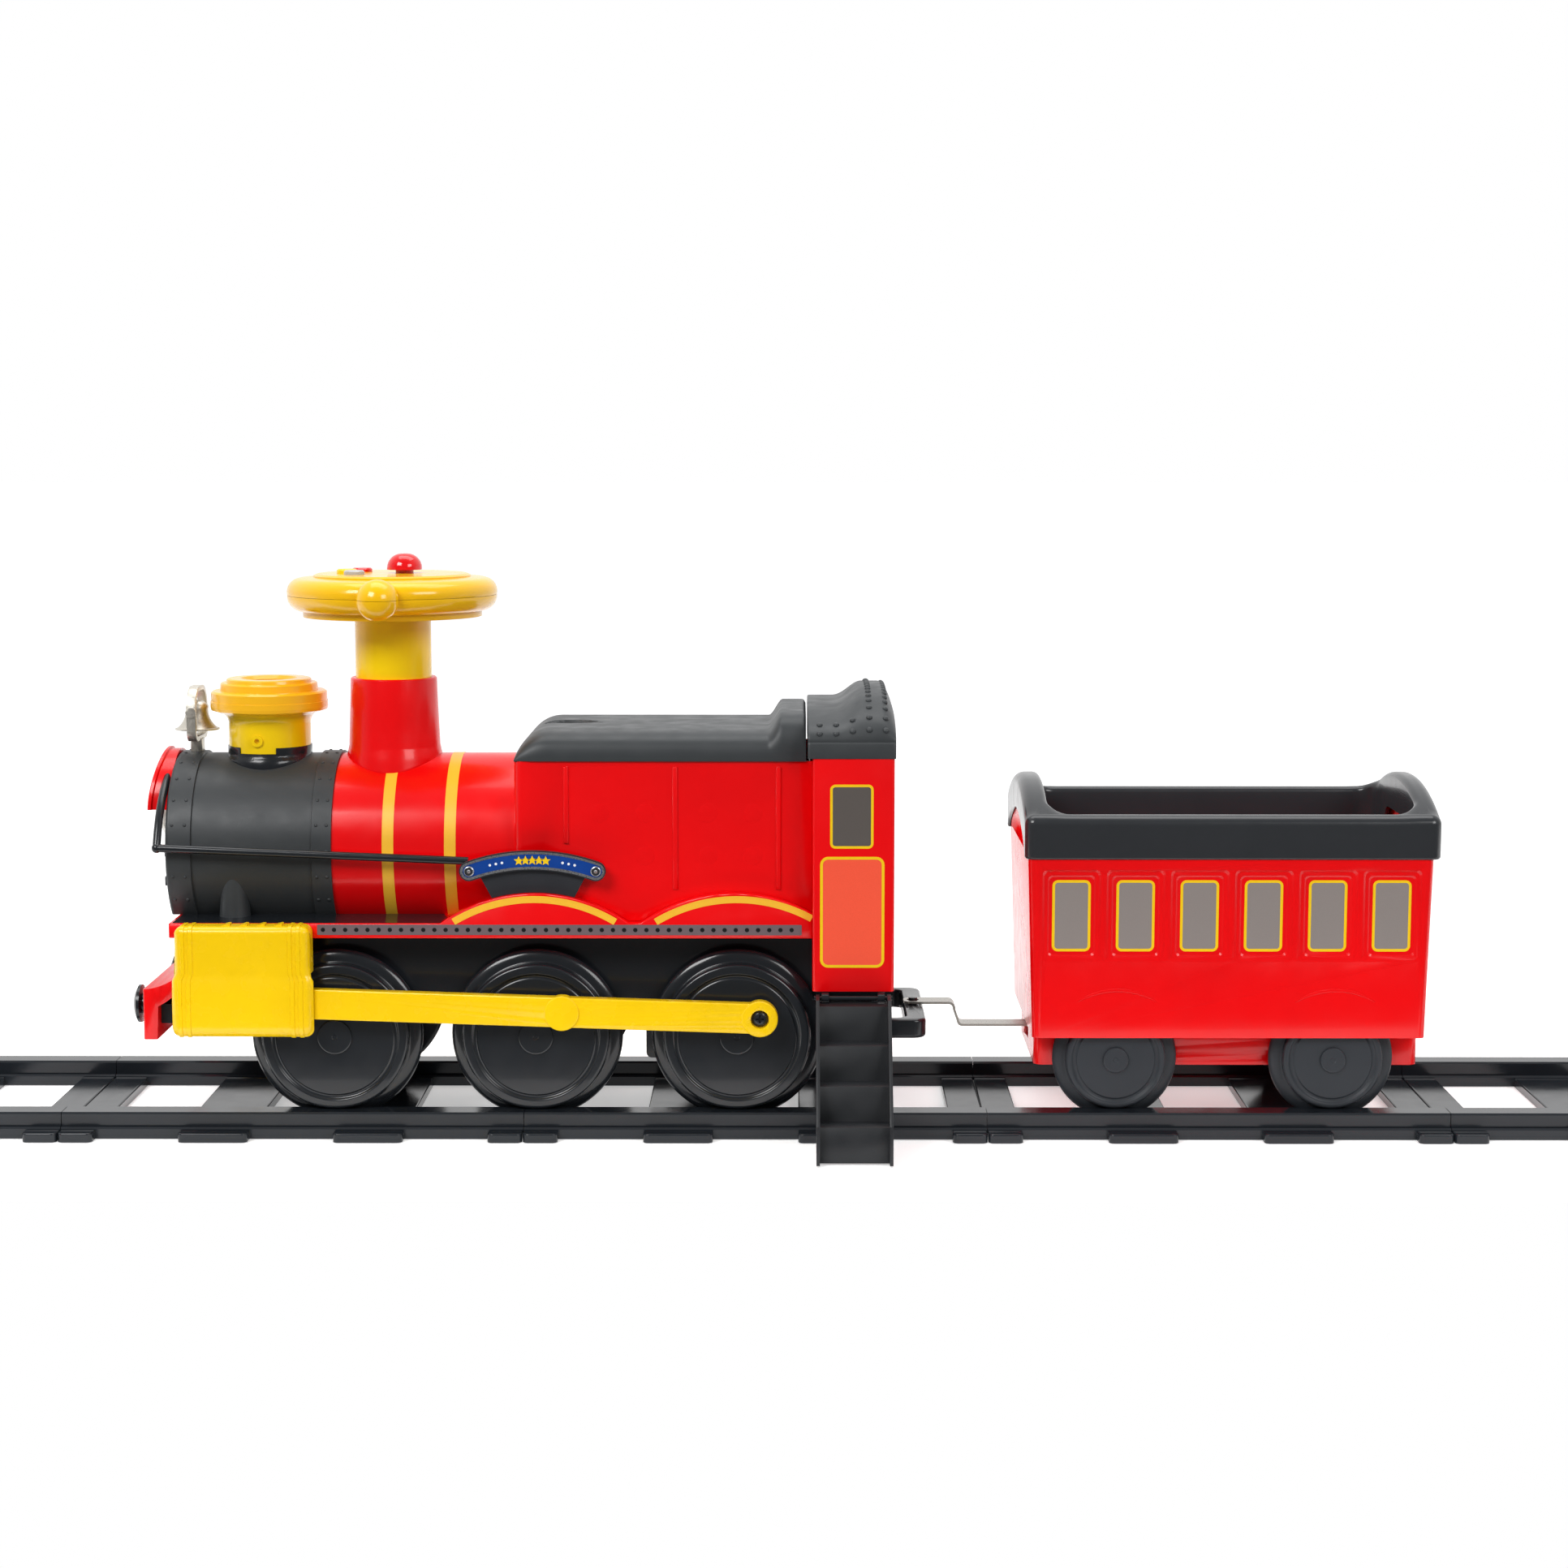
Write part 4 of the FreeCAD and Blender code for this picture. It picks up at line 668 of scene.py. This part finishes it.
def seat_lid():
    """Seat moulding with a soft shoulder, an oval finger recess and a raised back."""
    low, high = extent("seat")
    base, top, hump, wall = 325.0, 350.0, high.z, 3.0
    nose, rear_rounding, back_from, back_to = 30.0, 4.0, 10.0, 23.0
    recess_x, recess_half, recess_width, recess_depth = low.x + 43.0, 23.0, 13.5, 8.0
    notch_ahead, notch_side, notch_half, notch_width, notch_depth = 25.0, 6.0, 4.5, 3.0, 2.0
    section = superellipse(26, 9.0, 2.6)
    xs = [low.x + nose * (1 - math.cos(a)) for a in arc(0, math.pi / 2, 18)]
    xs += [xs[-1] + step for step in arc(2.2, 165.0, 74)]
    xs += [xs[-1] + step for step in arc(1.0, high.x - 0.01 - xs[-1], 46)]

    def crest(x):
        front = min(1.0, (x - low.x) / nose)
        rise = (1 - (1 - front) ** 2.0) ** 0.62
        back = eased(x, back_from, back_to)
        rounding = max(0.0, (x - (high.x - rear_rounding)) / rear_rounding)
        height = base + (top - base) * rise + (hump - top) * back
        return height - rear_rounding * (1 - math.sqrt(max(0.0, 1 - rounding ** 2)))

    def row(x, height):
        points = []
        wide = high.y - 3.0 * (1 - min(1.0, (x - low.x) / 24.0)) ** 2
        for across, up in section:
            y, z = wide * across, base + (height - base) * up
            reach = math.hypot((x - recess_x) / recess_half, y / recess_width)
            z -= recess_depth * (1 - eased(reach, 0.82, 1.06))
            notch = math.hypot((x - recess_x - notch_ahead) / notch_half, (y + notch_side) / notch_width)
            z -= notch_depth * (1 - eased(notch, 0.6, 1.1))
            points.append((x, y, z))
        return points

    rows = [row(x, crest(x)) for x in xs]
    rows.append([(xs[-1], y, base) for _, y, _ in rows[-1]])
    walled("seat_moulding", skin_rows(rows), wall, "grey_plastic", "seat")

    rib = Shape()
    front, rear, half, rib_top = low.x + 5, 40, 87, base + 8
    outer, inner = ([(front + inset, inset - half), (rear - inset, inset - half),
                     (rear - inset, half - inset), (front + inset, half - inset)] for inset in (0, wall))
    turns = (outer, low.z), (outer, rib_top), (inner, rib_top), (inner, low.z), (outer, low.z)
    rib.loft([[(x, y, z) for x, y in corners] for corners, z in turns])
    piece("seat_locating_rib", rib, "grey_plastic", "seat")


ROOF_FRONT_TOP, ROOF_SKIRT_TOP = 371.0, 343.0
ROOF_RIVET_RADIUS, ROOF_RIVET_HEIGHT, ROOF_RIVET_PITCH, ROOF_COLUMN_PITCH = 2.7, 2.0, 12.6, 14.1
ROOF_FIRST_COLUMN, ROOF_LOWEST_RIVET, ROOF_SECOND_RIVET, ROOF_SHORT_COLUMNS = 10.0, 4.0, 13.0, 3


def roof_height(x, y, low, high):
    """Arched roof surface, lower at the front and swept up to the rear crest."""
    half = high.y - 1.2
    swept = eased(x, low.x + 21.0, high.x - 27.0) ** 1.25
    crown = ROOF_FRONT_TOP + (high.z - 1.5 - ROOF_FRONT_TOP) * swept
    eaves = ROOF_SKIRT_TOP + 1.5
    height = eaves + (crown - eaves) * max(0.0, 1 - abs(y / half) ** 2.6) ** 0.5
    rear = max(0.0, (x - (high.x - 13.0)) / 13.0)
    return height - (height - eaves) * 0.5 * rear ** 2.2


def roof_rivet(shape, x, y, low, high):
    """A rivet that stands square to the roof at (x, y)."""
    step = 0.2

    def on_roof(along, across):
        return Vector((along, across, roof_height(along, across, low, high)))

    here = on_roof(x, y)
    normal = (on_roof(x + step, y) - here).cross(on_roof(x, y + step) - on_roof(x, y - step))
    dome(shape, here, normal, ROOF_RIVET_RADIUS, ROOF_RIVET_HEIGHT, 16, 4)


def cab_roof():
    """Black roof with a smooth skirt, riveted slopes and a swept rear crest."""
    low, high = extent("cab_roof")
    xs = [low.x] + [low.x + 0.6] + arc(low.x + 2.0, high.x - 2.0, 56) + [high.x - 0.6, high.x]
    rows = []
    for x in xs:
        tuck = 0.8 if x in (xs[0], xs[-1]) else (0.25 if x in (xs[1], xs[-2]) else 0.0)
        wall = high.y - tuck
        side = [(wall, low.z), (wall, ROOF_SKIRT_TOP - 0.8), (wall - 0.5, ROOF_SKIRT_TOP + 0.3),
                (wall - 1.2, ROOF_SKIRT_TOP + 0.9)]
        spread = [(high.y - 1.2) * math.sin(angle) for angle in arc(math.pi / 2, 0.0, 46)]
        arch = [(min(y, wall - 1.2), max(roof_height(x, y, low, high) - tuck, ROOF_SKIRT_TOP + 1.2))
                for y in spread[1:]]
        half = side + arch
        section = half + [(-y, z) for y, z in reversed(half[:-1])]
        rows.append([(x, y, z) for y, z in section])
    foot = [(point[1], low.z) for point in rows[0]]
    rows.insert(0, [(xs[0], y, z) for y, z in foot])
    rows.append([(xs[-1], y, z) for y, z in foot])
    walled("cab_roof_moulding", skin_rows(rows), 3.0, "grey_plastic", "cab_roof")

    rivets = Shape()
    columns = [low.x + ROOF_FIRST_COLUMN + ROOF_COLUMN_PITCH * index for index in range(5)]
    for side in SIDES:
        for column, x in enumerate(columns):
            inboard = [ROOF_LOWEST_RIVET, ROOF_SECOND_RIVET]
            if column >= ROOF_SHORT_COLUMNS:
                inboard += [ROOF_SECOND_RIVET + ROOF_RIVET_PITCH * step for step in range(1, 9)]
            for distance in inboard:
                roof_rivet(rivets, x, side * (high.y - distance), low, high)
    piece("cab_roof_rivets", rivets, "grey_plastic", "loco")


def lamp_hood():
    """Half-round hood whose front slants forward to the bottom, with a raised lip."""
    low = extent("lamp_hood")[0]
    outer, inner, crest, centre_z, back = 49.0, 45.5, 50.9, low.z, -512.05
    rows = []
    for angle in arc(-math.pi / 2, math.pi / 2, 40):
        lean = 9.0 * max(0.0, math.cos(angle)) ** 1.5
        face = low.x + lean
        section = [(back, outer), (face + 4.2, outer), (face + 3.2, crest), (face + 0.8, crest),
                   (face, crest - 0.8), (face, inner + 0.6), (face + 0.6, inner), (back, inner)]
        rows.append([(x, size * math.sin(angle), centre_z + size * math.cos(angle)) for x, size in section])
    made = piece("lamp_hood_moulding", Shape().loft(rows, caps=True), "red_plastic", "loco")
    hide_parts("lamp_hood")


def turned(shape, profile, x, z, side, steps=96):
    """A closed outline of (radius, distance from the centre line), turned about an axle."""
    rings = []
    for radius, distance in profile + profile[:1]:
        rings.append([(x + radius * math.cos(angle), side * distance, z + radius * math.sin(angle))
                      for angle in (2 * math.pi * step / steps for step in range(steps))])
    return shape.loft(rings)


def wheel_profile(tread, flange, hub, ring, bore, inner, face):
    """Half section of a wheel: domed flange, rounded tread edge, ring groove and raised hub.

    Corners have close points beside them, so that the flat faces between stay flat when shaded.
    """
    back, belly, foot = 82.0, 85.0, 90.6
    web, dish, edge, lip = face - 6.0, face - 1.0, 3.0, 3.0
    quarter = arc(0, math.pi / 2, 6)
    rounding = [(flange - lip + lip * math.sin(a), belly - lip * math.cos(a)) for a in arc(0, math.pi / 2, 5)]
    dome_width = flange - tread - 0.6
    side = [(tread + 0.6 + dome_width * math.cos(a), belly + (foot - belly) * math.sin(a))
            for a in arc(0, math.pi / 2, 10)[1:]]
    shoulder = [(tread - edge + edge * math.cos(a), face - edge + edge * math.sin(a)) for a in quarter]
    groove = [(ring + out, face - depth) for out, depth in (
        (4.6, 0), (4.0, 0), (3.3, 0.3), (2.5, 1.5), (1.6, 2.1), (0.4, 2.2), (-0.6, 1.9), (-1.5, 1.0),
        (-2.1, 1.0),
    )]
    boss = [(hub + out, face + rise) for out, rise in ((0, 0.4), (-0.3, 0.95), (-0.9, 1.2), (-1.5, 1.2))]
    dimple = [(radius, face + rise) for radius, rise in ((3.0, 1.2), (2.4, 1.2), (1.9, 0.8), (0, 0.8))]
    inside = [(bore, inner), (hub - 2, inner), (hub - 2, web), (tread - 6, web), (tread - 6, back)]
    outside = [(tread, foot + 0.4)] + shoulder + [(tread - edge - 0.6, face)]
    return (inside + rounding + side + outside + groove + [(hub + 0.5, dish), (hub, dish)] + boss + dimple
            + [(0, web), (bore, web)])


# radii of tread, flange, hub, ring groove and bore, then the boss's inner end and the outer face
LOCO_WHEEL = 63.7, 74.5, 15.0, 52.0, 5.0, 76.0, 104.0
CARRIAGE_WHEEL = 43.2, 54.0, 11.0, 35.0, 4.0, 77.0, 100.0
WHEEL_SIZES = {
    "front_wheels": LOCO_WHEEL, "middle_wheels": LOCO_WHEEL, "rear_wheels": LOCO_WHEEL,
    "carriage_front_wheelset": CARRIAGE_WHEEL, "carriage_rear_wheelset": CARRIAGE_WHEEL,
}


def wheels():
    """Both wheels of every axle, with the carriage's axles."""
    for node, sizes in WHEEL_SIZES.items():
        low, high = extent(node)
        x, z = (low.x + high.x) / 2, (low.z + high.z) / 2
        shape = Shape()
        for side in SIDES:
            turned(shape, wheel_profile(*sizes), x, z, side)
        bore, face = sizes[4], sizes[6]
        if node.startswith("carriage"):
            reach = face - 7.0
            turned(shape, [(0, -reach), (bore - 0.05, -reach), (bore - 0.05, reach), (0, reach)], x, z, 1, 32)
        finish = NODE_FINISH.get(node, SLOT_OF[node])
        made = piece(f"{node}_moulding", shape, finish, BODY_OF[node])
        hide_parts(node)


def block(shape, x0, x1, y0, y1, z0, z1):
    return shape.loft([[(x, y0, z0), (x, y1, z0), (x, y1, z1), (x, y0, z1)] for x in (x0, x1)], caps=True)


COVER_INNER, COVER_OUTER, COVER_TOP, COVER_BASE, COVER_WAIST = 106.4, 127.0, 186.0, 90.0, 143.0
COVER_FRONT, COVER_REAR, COVER_ROUNDING, COVER_WALL, ROD_OUTER = -497.0, -381.0, 7.0, 2.4, 122.6
BAND_FRONTS, BAND_WIDTH, BAND_EDGE, BAND_RISE = (-491.0, -484.0, -399.0, -392.0), 3.0, 0.5, 0.8
LOUVRE_FRONTS = -459.0, -444.0, -429.0, -414.0


def cover_section():
    """Cover's outer section as (distance, height), from the inner top edge down to the rod's slot."""
    shoulder, bulge, foot = 6.0, 3.0, (9.5, 11.0)
    top = [(distance, COVER_TOP) for distance in arc(COVER_INNER, COVER_OUTER - shoulder, 4)[:-1]]
    corner = [(COVER_OUTER - shoulder + shoulder * math.sin(a), COVER_TOP - shoulder + shoulder * math.cos(a))
              for a in arc(0, math.pi / 2, 8)]
    wall = [(COVER_OUTER, z) for z in arc(COVER_TOP - shoulder, COVER_WAIST + 2, 6)[1:]]
    barrel = [(COVER_OUTER + bulge * math.sin(math.pi / 2 * share) ** 0.8, COVER_WAIST - 26.0 * share)
              for share in arc(0.0, 1.0, 10)]
    wide = COVER_OUTER + bulge
    barrel.append((wide, COVER_BASE + foot[1] + 6))
    base = [(wide - foot[0] + foot[0] * math.cos(a), COVER_BASE + foot[1] - foot[1] * math.sin(a))
            for a in arc(0, math.radians(68), 8)]
    return top + corner + wall + barrel + base


def cylinder_covers():
    """Rounded valve chest over a cylinder with moulded bands, open below for the side rod."""
    front, rear = COVER_FRONT, COVER_REAR
    middle, slot_reach = (front + rear) / 2, ROD_OUTER + COVER_WALL
    section = [Vector(point) for point in cover_section()]
    normals = []
    for index in range(len(section)):
        along = section[min(index + 1, len(section) - 1)] - section[max(index - 1, 0)]
        normals.append(Vector((-along.y, along.x)).normalized())
    ends = [COVER_ROUNDING * (1 - math.cos(a)) for a in arc(0, math.pi / 2, 8)]
    middles = []
    for start in BAND_FRONTS:
        middles += [start - BAND_EDGE, start, start + BAND_WIDTH, start + BAND_WIDTH + BAND_EDGE]
    xs = [front + e for e in ends if front + e < middles[0]] + middles
    xs += [rear - e for e in reversed(ends) if rear - e > middles[-1]]
    for side in SIDES:
        node = f"cylinder_cover_{SIDE_NAMES[side]}"
        rows = []
        for x in xs:
            banded = any(start - 0.1 <= x <= start + BAND_WIDTH + 0.1 for start in BAND_FRONTS)
            short = max(0.0, COVER_ROUNDING - min(x - front, rear - x))
            inset = COVER_ROUNDING - math.sqrt(COVER_ROUNDING ** 2 - short ** 2)
            inset -= BAND_RISE if banded else 0.0
            row = []
            for point, normal in zip(section, normals):
                spot = point - normal * inset
                low = 1 - eased(point.y, COVER_WAIST - 3, COVER_WAIST + 3)
                if x > middle:
                    open_share = 1 - eased(point.y, COVER_WAIST, COVER_WAIST + 6)
                    spot.x = max(spot.x, COVER_INNER + (slot_reach - COVER_INNER) * open_share)
                stretched = middle + (x - middle) * (1 + 0.047 * low)
                row.append((stretched, side * spot.x, spot.y))
            rows.append(row)
        skin = skin_rows(rows)
        front_cap = rows[0] + [(rows[0][-1][0], side * COVER_INNER, rows[0][-1][2])]
        skin.add(front_cap, [tuple(range(len(front_cap)))])
        upper = [point for point, plan in zip(rows[-1], section) if plan.y > COVER_WAIST + 1]
        rear_cap = upper + [(upper[-1][0], side * COVER_INNER, upper[-1][2])]
        skin.add(rear_cap, [tuple(range(len(rear_cap)))])
        walled(f"{node}_moulding", skin, COVER_WALL, "yellow_plastic", node)
        trim = Shape()
        block(trim, front + 2, rear - 2, side * COVER_INNER, side * 110.8, COVER_BASE, COVER_BASE + 3)
        block(trim, front + 2, -446, side * 103.4, side * COVER_INNER, 100, 172)
        for x in LOUVRE_FRONTS:
            rise = [(x + along, COVER_TOP + up) for along, up in ((0, -0.5), (9, -0.5), (9, 1.6), (7, 1.6))]
            trim.loft([[(a, side * y, z) for a, z in rise] for y in (108.4, 119.0)], caps=True)
        piece(f"{node}_louvres", trim, "yellow_plastic", "loco")


def loop(x0, x1, half, radius, corner=8, sides=34, ends=28):
    """Points round a rounded rectangle in plan, each with its outward direction."""
    middle_x = (x0 + x1) / 2
    long_half, points = (x1 - x0) / 2 - radius, []
    clustered = [long_half * math.sin(math.pi / 2 * share) for share in arc(-1.0, 1.0, sides)]
    even = arc(-(half - radius), half - radius, ends)
    runs = [
        ([(x1, y) for y in even[1:-1]], (1, 0), (1, 1)),
        ([(middle_x - x, half) for x in clustered[1:-1]], (0, 1), (-1, 1)),
        ([(x0, -y) for y in even[1:-1]], (-1, 0), (-1, -1)),
        ([(middle_x + x, -half) for x in clustered[1:-1]], (0, -1), (1, -1)),
    ]
    for turn, (run, out, (across, up)) in enumerate(runs):
        points += [(Vector(point), Vector(out)) for point in run]
        hub = Vector((middle_x + across * long_half, up * (half - radius)))
        for angle in arc(turn * math.pi / 2, (turn + 1) * math.pi / 2, corner):
            away = Vector((math.cos(angle), math.sin(angle)))
            points.append((hub + away * radius, away))
    return points


def carriage_rim():
    """Thick glossy rim: rounded skirt, arched ends swept down to the sides, and a liner with handholds."""
    low, high = extent("carriage_rim")
    outer = loop(low.x, high.x, high.y, 9.0)
    inner = loop(low.x + 21.0, high.x - 19.0, 94.0, 20.0)
    skirt_low, side_top, arch_low, shoulder, lip, tuck = 242.0, 280.0, 276.0, 9.0, 5.0, 2.5
    end_low, end_rise, end_half = 247.0, 25.0, 98.0
    hold_z, hold_reach, hold_radius = 253.0, 32.0, 16.0
    bend = (high.y ** 2 + (high.z - arch_low) ** 2) / (2 * (high.z - arch_low))

    def top(spot):
        arch = high.z - bend + math.sqrt(max(0.0, bend ** 2 - spot.y ** 2))
        share = eased(min(spot.x - low.x, high.x - spot.x), 19.0, 41.0)
        return arch + (side_top - arch) * share

    def skirt_foot(spot, out):
        if abs(out.x) < 0.999:
            return skirt_low
        arched = end_low + end_rise * (1 - (spot.y / end_half) ** 2)
        return skirt_low + (arched - skirt_low) * eased(end_half - abs(spot.y), 0.0, 5.0)

    def handhold(spot, out, sign):
        past = max(0.0, abs(spot.y) - hold_reach)
        if abs(out.x) < 0.999 or past >= hold_radius:
            return hold_z
        return hold_z + sign * (1.0 + math.sqrt(hold_radius ** 2 - past ** 2))

    upper, lower = [], []
    for (edge, out), (mouth, away) in zip(outer, inner):
        foot = skirt_foot(edge, out)
        column = [(edge - out * tuck * (1 - math.sin(a)), foot + tuck * (1 - math.cos(a)))
                  for a in arc(0, math.pi / 2, 4)]
        crest = top(edge - out * shoulder)
        column += [(edge - out * shoulder * (1 - math.cos(a)), crest - shoulder * (1 - math.sin(a)))
                   for a in arc(0, math.pi / 2, 8)]
        start, end = edge - out * shoulder, mouth + away * lip
        column += [(start.lerp(end, share), top(start.lerp(end, share))) for share in (0.33, 0.66, 1.0)]
        fall = top(end)
        column += [(mouth + away * lip * (1 - math.sin(a)), fall - lip * (1 - math.cos(a)))
                   for a in arc(0, math.pi / 2, 5)[1:]]
        hole_top, hole_foot = handhold(mouth, away, 1), handhold(mouth, away, -1)
        column += [(mouth, fall - lip + (hole_top - fall + lip) * share) for share in (0.5, 1.0)]
        upper.append([(spot.x, spot.y, z) for spot, z in column])
        lower.append([(mouth.x, mouth.y, z) for z in arc(hole_foot, low.z + 2, 2)])
    skin = Shape()
    for columns in (upper, lower):
        skin.loft([list(row) for row in zip(*columns)])
    walled("carriage_rim_moulding", skin, 3.0, "rim_black", "carriage_rim")


SINK_MARKS = (-134, 280), (-95, 280), (-41, 280), (-2, 280), (-95, 243), (-41, 243), (-2, 243)


def sink_marks():
    """Faint round marks on the saddle tank, over the bosses inside."""
    wall = extent("saddle_body")[1].y - 2.05
    shape = Shape()
    for side in SIDES:
        for x, z in SINK_MARKS:
            dome(shape, (x, side * wall, z), (0, side, 0), 8.5, 0.35, 28, 4)
    piece("saddle_sink_marks", shape, "red_plastic", "loco")


SOFT_EDGES = {
    "carriage_body": 0.5, "carriage_frame": 1.6, "cab_body": 1.0, "footplate": 1.0, "buffer_beam": 1.4,
    "side_rod_left": 1.0, "side_rod_right": 1.0, "steps_left": 0.6, "steps_right": 0.6, "tow_bar": 0.8,
    "saddle_body": 0.9, "steering_collar": 0.8, "chimney_collar": 0.6, "bell_yoke": 1.8,
}


def soften_edges():
    for node, width in SOFT_EDGES.items():
        softened(node, width)


# ---- camera, light and floor ----
def camera():
    """Camera at the photograph's place, with metres and degrees."""
    data = bpy.data.cameras.new("camera")
    data.lens, data.sensor_width = 67.08, 36.0
    thing = bpy.data.objects.new("camera", data)
    thing.location = (0.035, -2.584, 0.610)
    thing.rotation_euler = (math.radians(90 - 6.97), 0, math.radians(0.239))
    bpy.context.scene.collection.objects.link(thing)
    bpy.context.scene.camera = thing


def softbox(name, place, aim, size, power):
    data = bpy.data.lights.new(name, "AREA")
    data.shape, data.size, data.size_y, data.energy = "RECTANGLE", size[0], size[1], power
    thing = bpy.data.objects.new(name, data)
    thing.location = place
    thing.rotation_euler = (Vector(aim) - Vector(place)).to_track_quat("-Z", "Y").to_euler()
    bpy.context.scene.collection.objects.link(thing)


def world():
    """White studio: bright above and behind, dimmer in front of the object."""
    made = bpy.data.worlds.new("studio")
    made.use_nodes = True
    bpy.context.scene.world = made
    tree = made.node_tree
    tree.nodes.clear()
    place = tree.nodes.new("ShaderNodeTexCoord").outputs["Generated"]
    split = tree.nodes.new("ShaderNodeSeparateXYZ")
    tree.links.new(place, split.inputs[0])
    depth = tree.nodes.new("ShaderNodeMapRange")
    tree.links.new(split.outputs["Y"], depth.inputs["Value"])
    for name, value in (("From Min", -0.6), ("From Max", 0.35), ("To Min", 0.15), ("To Max", 1.0)):
        depth.inputs[name].default_value = value
    shade = tree.nodes.new("ShaderNodeBackground")
    tree.links.new(depth.outputs["Result"], shade.inputs["Strength"])
    shade.inputs["Color"].default_value = (1, 1, 1, 1)
    seen = tree.nodes.new("ShaderNodeBackground")
    seen.inputs["Color"].default_value = (1, 1, 1, 1)
    rays = tree.nodes.new("ShaderNodeLightPath")
    mix = tree.nodes.new("ShaderNodeMixShader")
    tree.links.new(rays.outputs["Is Camera Ray"], mix.inputs["Fac"])
    tree.links.new(shade.outputs[0], mix.inputs[1])
    tree.links.new(seen.outputs[0], mix.inputs[2])
    output = tree.nodes.new("ShaderNodeOutputWorld")
    tree.links.new(mix.outputs[0], output.inputs["Surface"])


def floor():
    """Pale floor, in metres, just under the track and behind its front edge."""
    reach, front, height = 30.0, -0.32, -0.0006
    corners = (-reach, front), (reach, front), (reach, reach), (-reach, reach)
    mesh = bpy.data.meshes.new("floor")
    mesh.from_pydata([(x, y, height) for x, y in corners], [], [(0, 1, 2, 3)])
    made = Nodes("pale_floor")
    base = made.ramp(made.noise(3.0), [(0.3, srgb(246, 246, 246)), (0.7, srgb(250, 250, 250))])
    made.link(base, "Base Color")
    made.shader.inputs["Roughness"].default_value = 0.9
    made.shader.inputs["Specular IOR Level"].default_value = 0.1
    made.shader.inputs["Emission Color"].default_value = (1, 1, 1, 1)
    made.shader.inputs["Emission Strength"].default_value = 0.42
    mesh.materials.append(made.material)
    thing = bpy.data.objects.new("floor", mesh)
    bpy.context.scene.collection.objects.link(thing)


def studio():
    bpy.context.scene.view_settings.view_transform = "Standard"
    camera()
    world()
    softbox("key", (-1.7, -2.3, 2.3), (0, 0, 0.2), (1.6, 1.2), 74)
    softbox("fill", (2.1, -2.5, 1.9), (0, 0, 0.2), (1.6, 1.2), 44)
    softbox("top", (0, 0.3, 2.7), (0, 0, 0), (2.6, 1.4), 30)
    floor()


studio()
dress_cad()
boiler_stripes()
smokebox_rivets()
footplate_strip()
splasher_arcs()
footplate_painted_reflection()
cab_stickers()
carriage_windows()
carriage_arches()
nameplate_print()
seat_lid()
cab_roof()
lamp_hood()
wheels()
cylinder_covers()
carriage_rim()
sink_marks()
soften_edges()
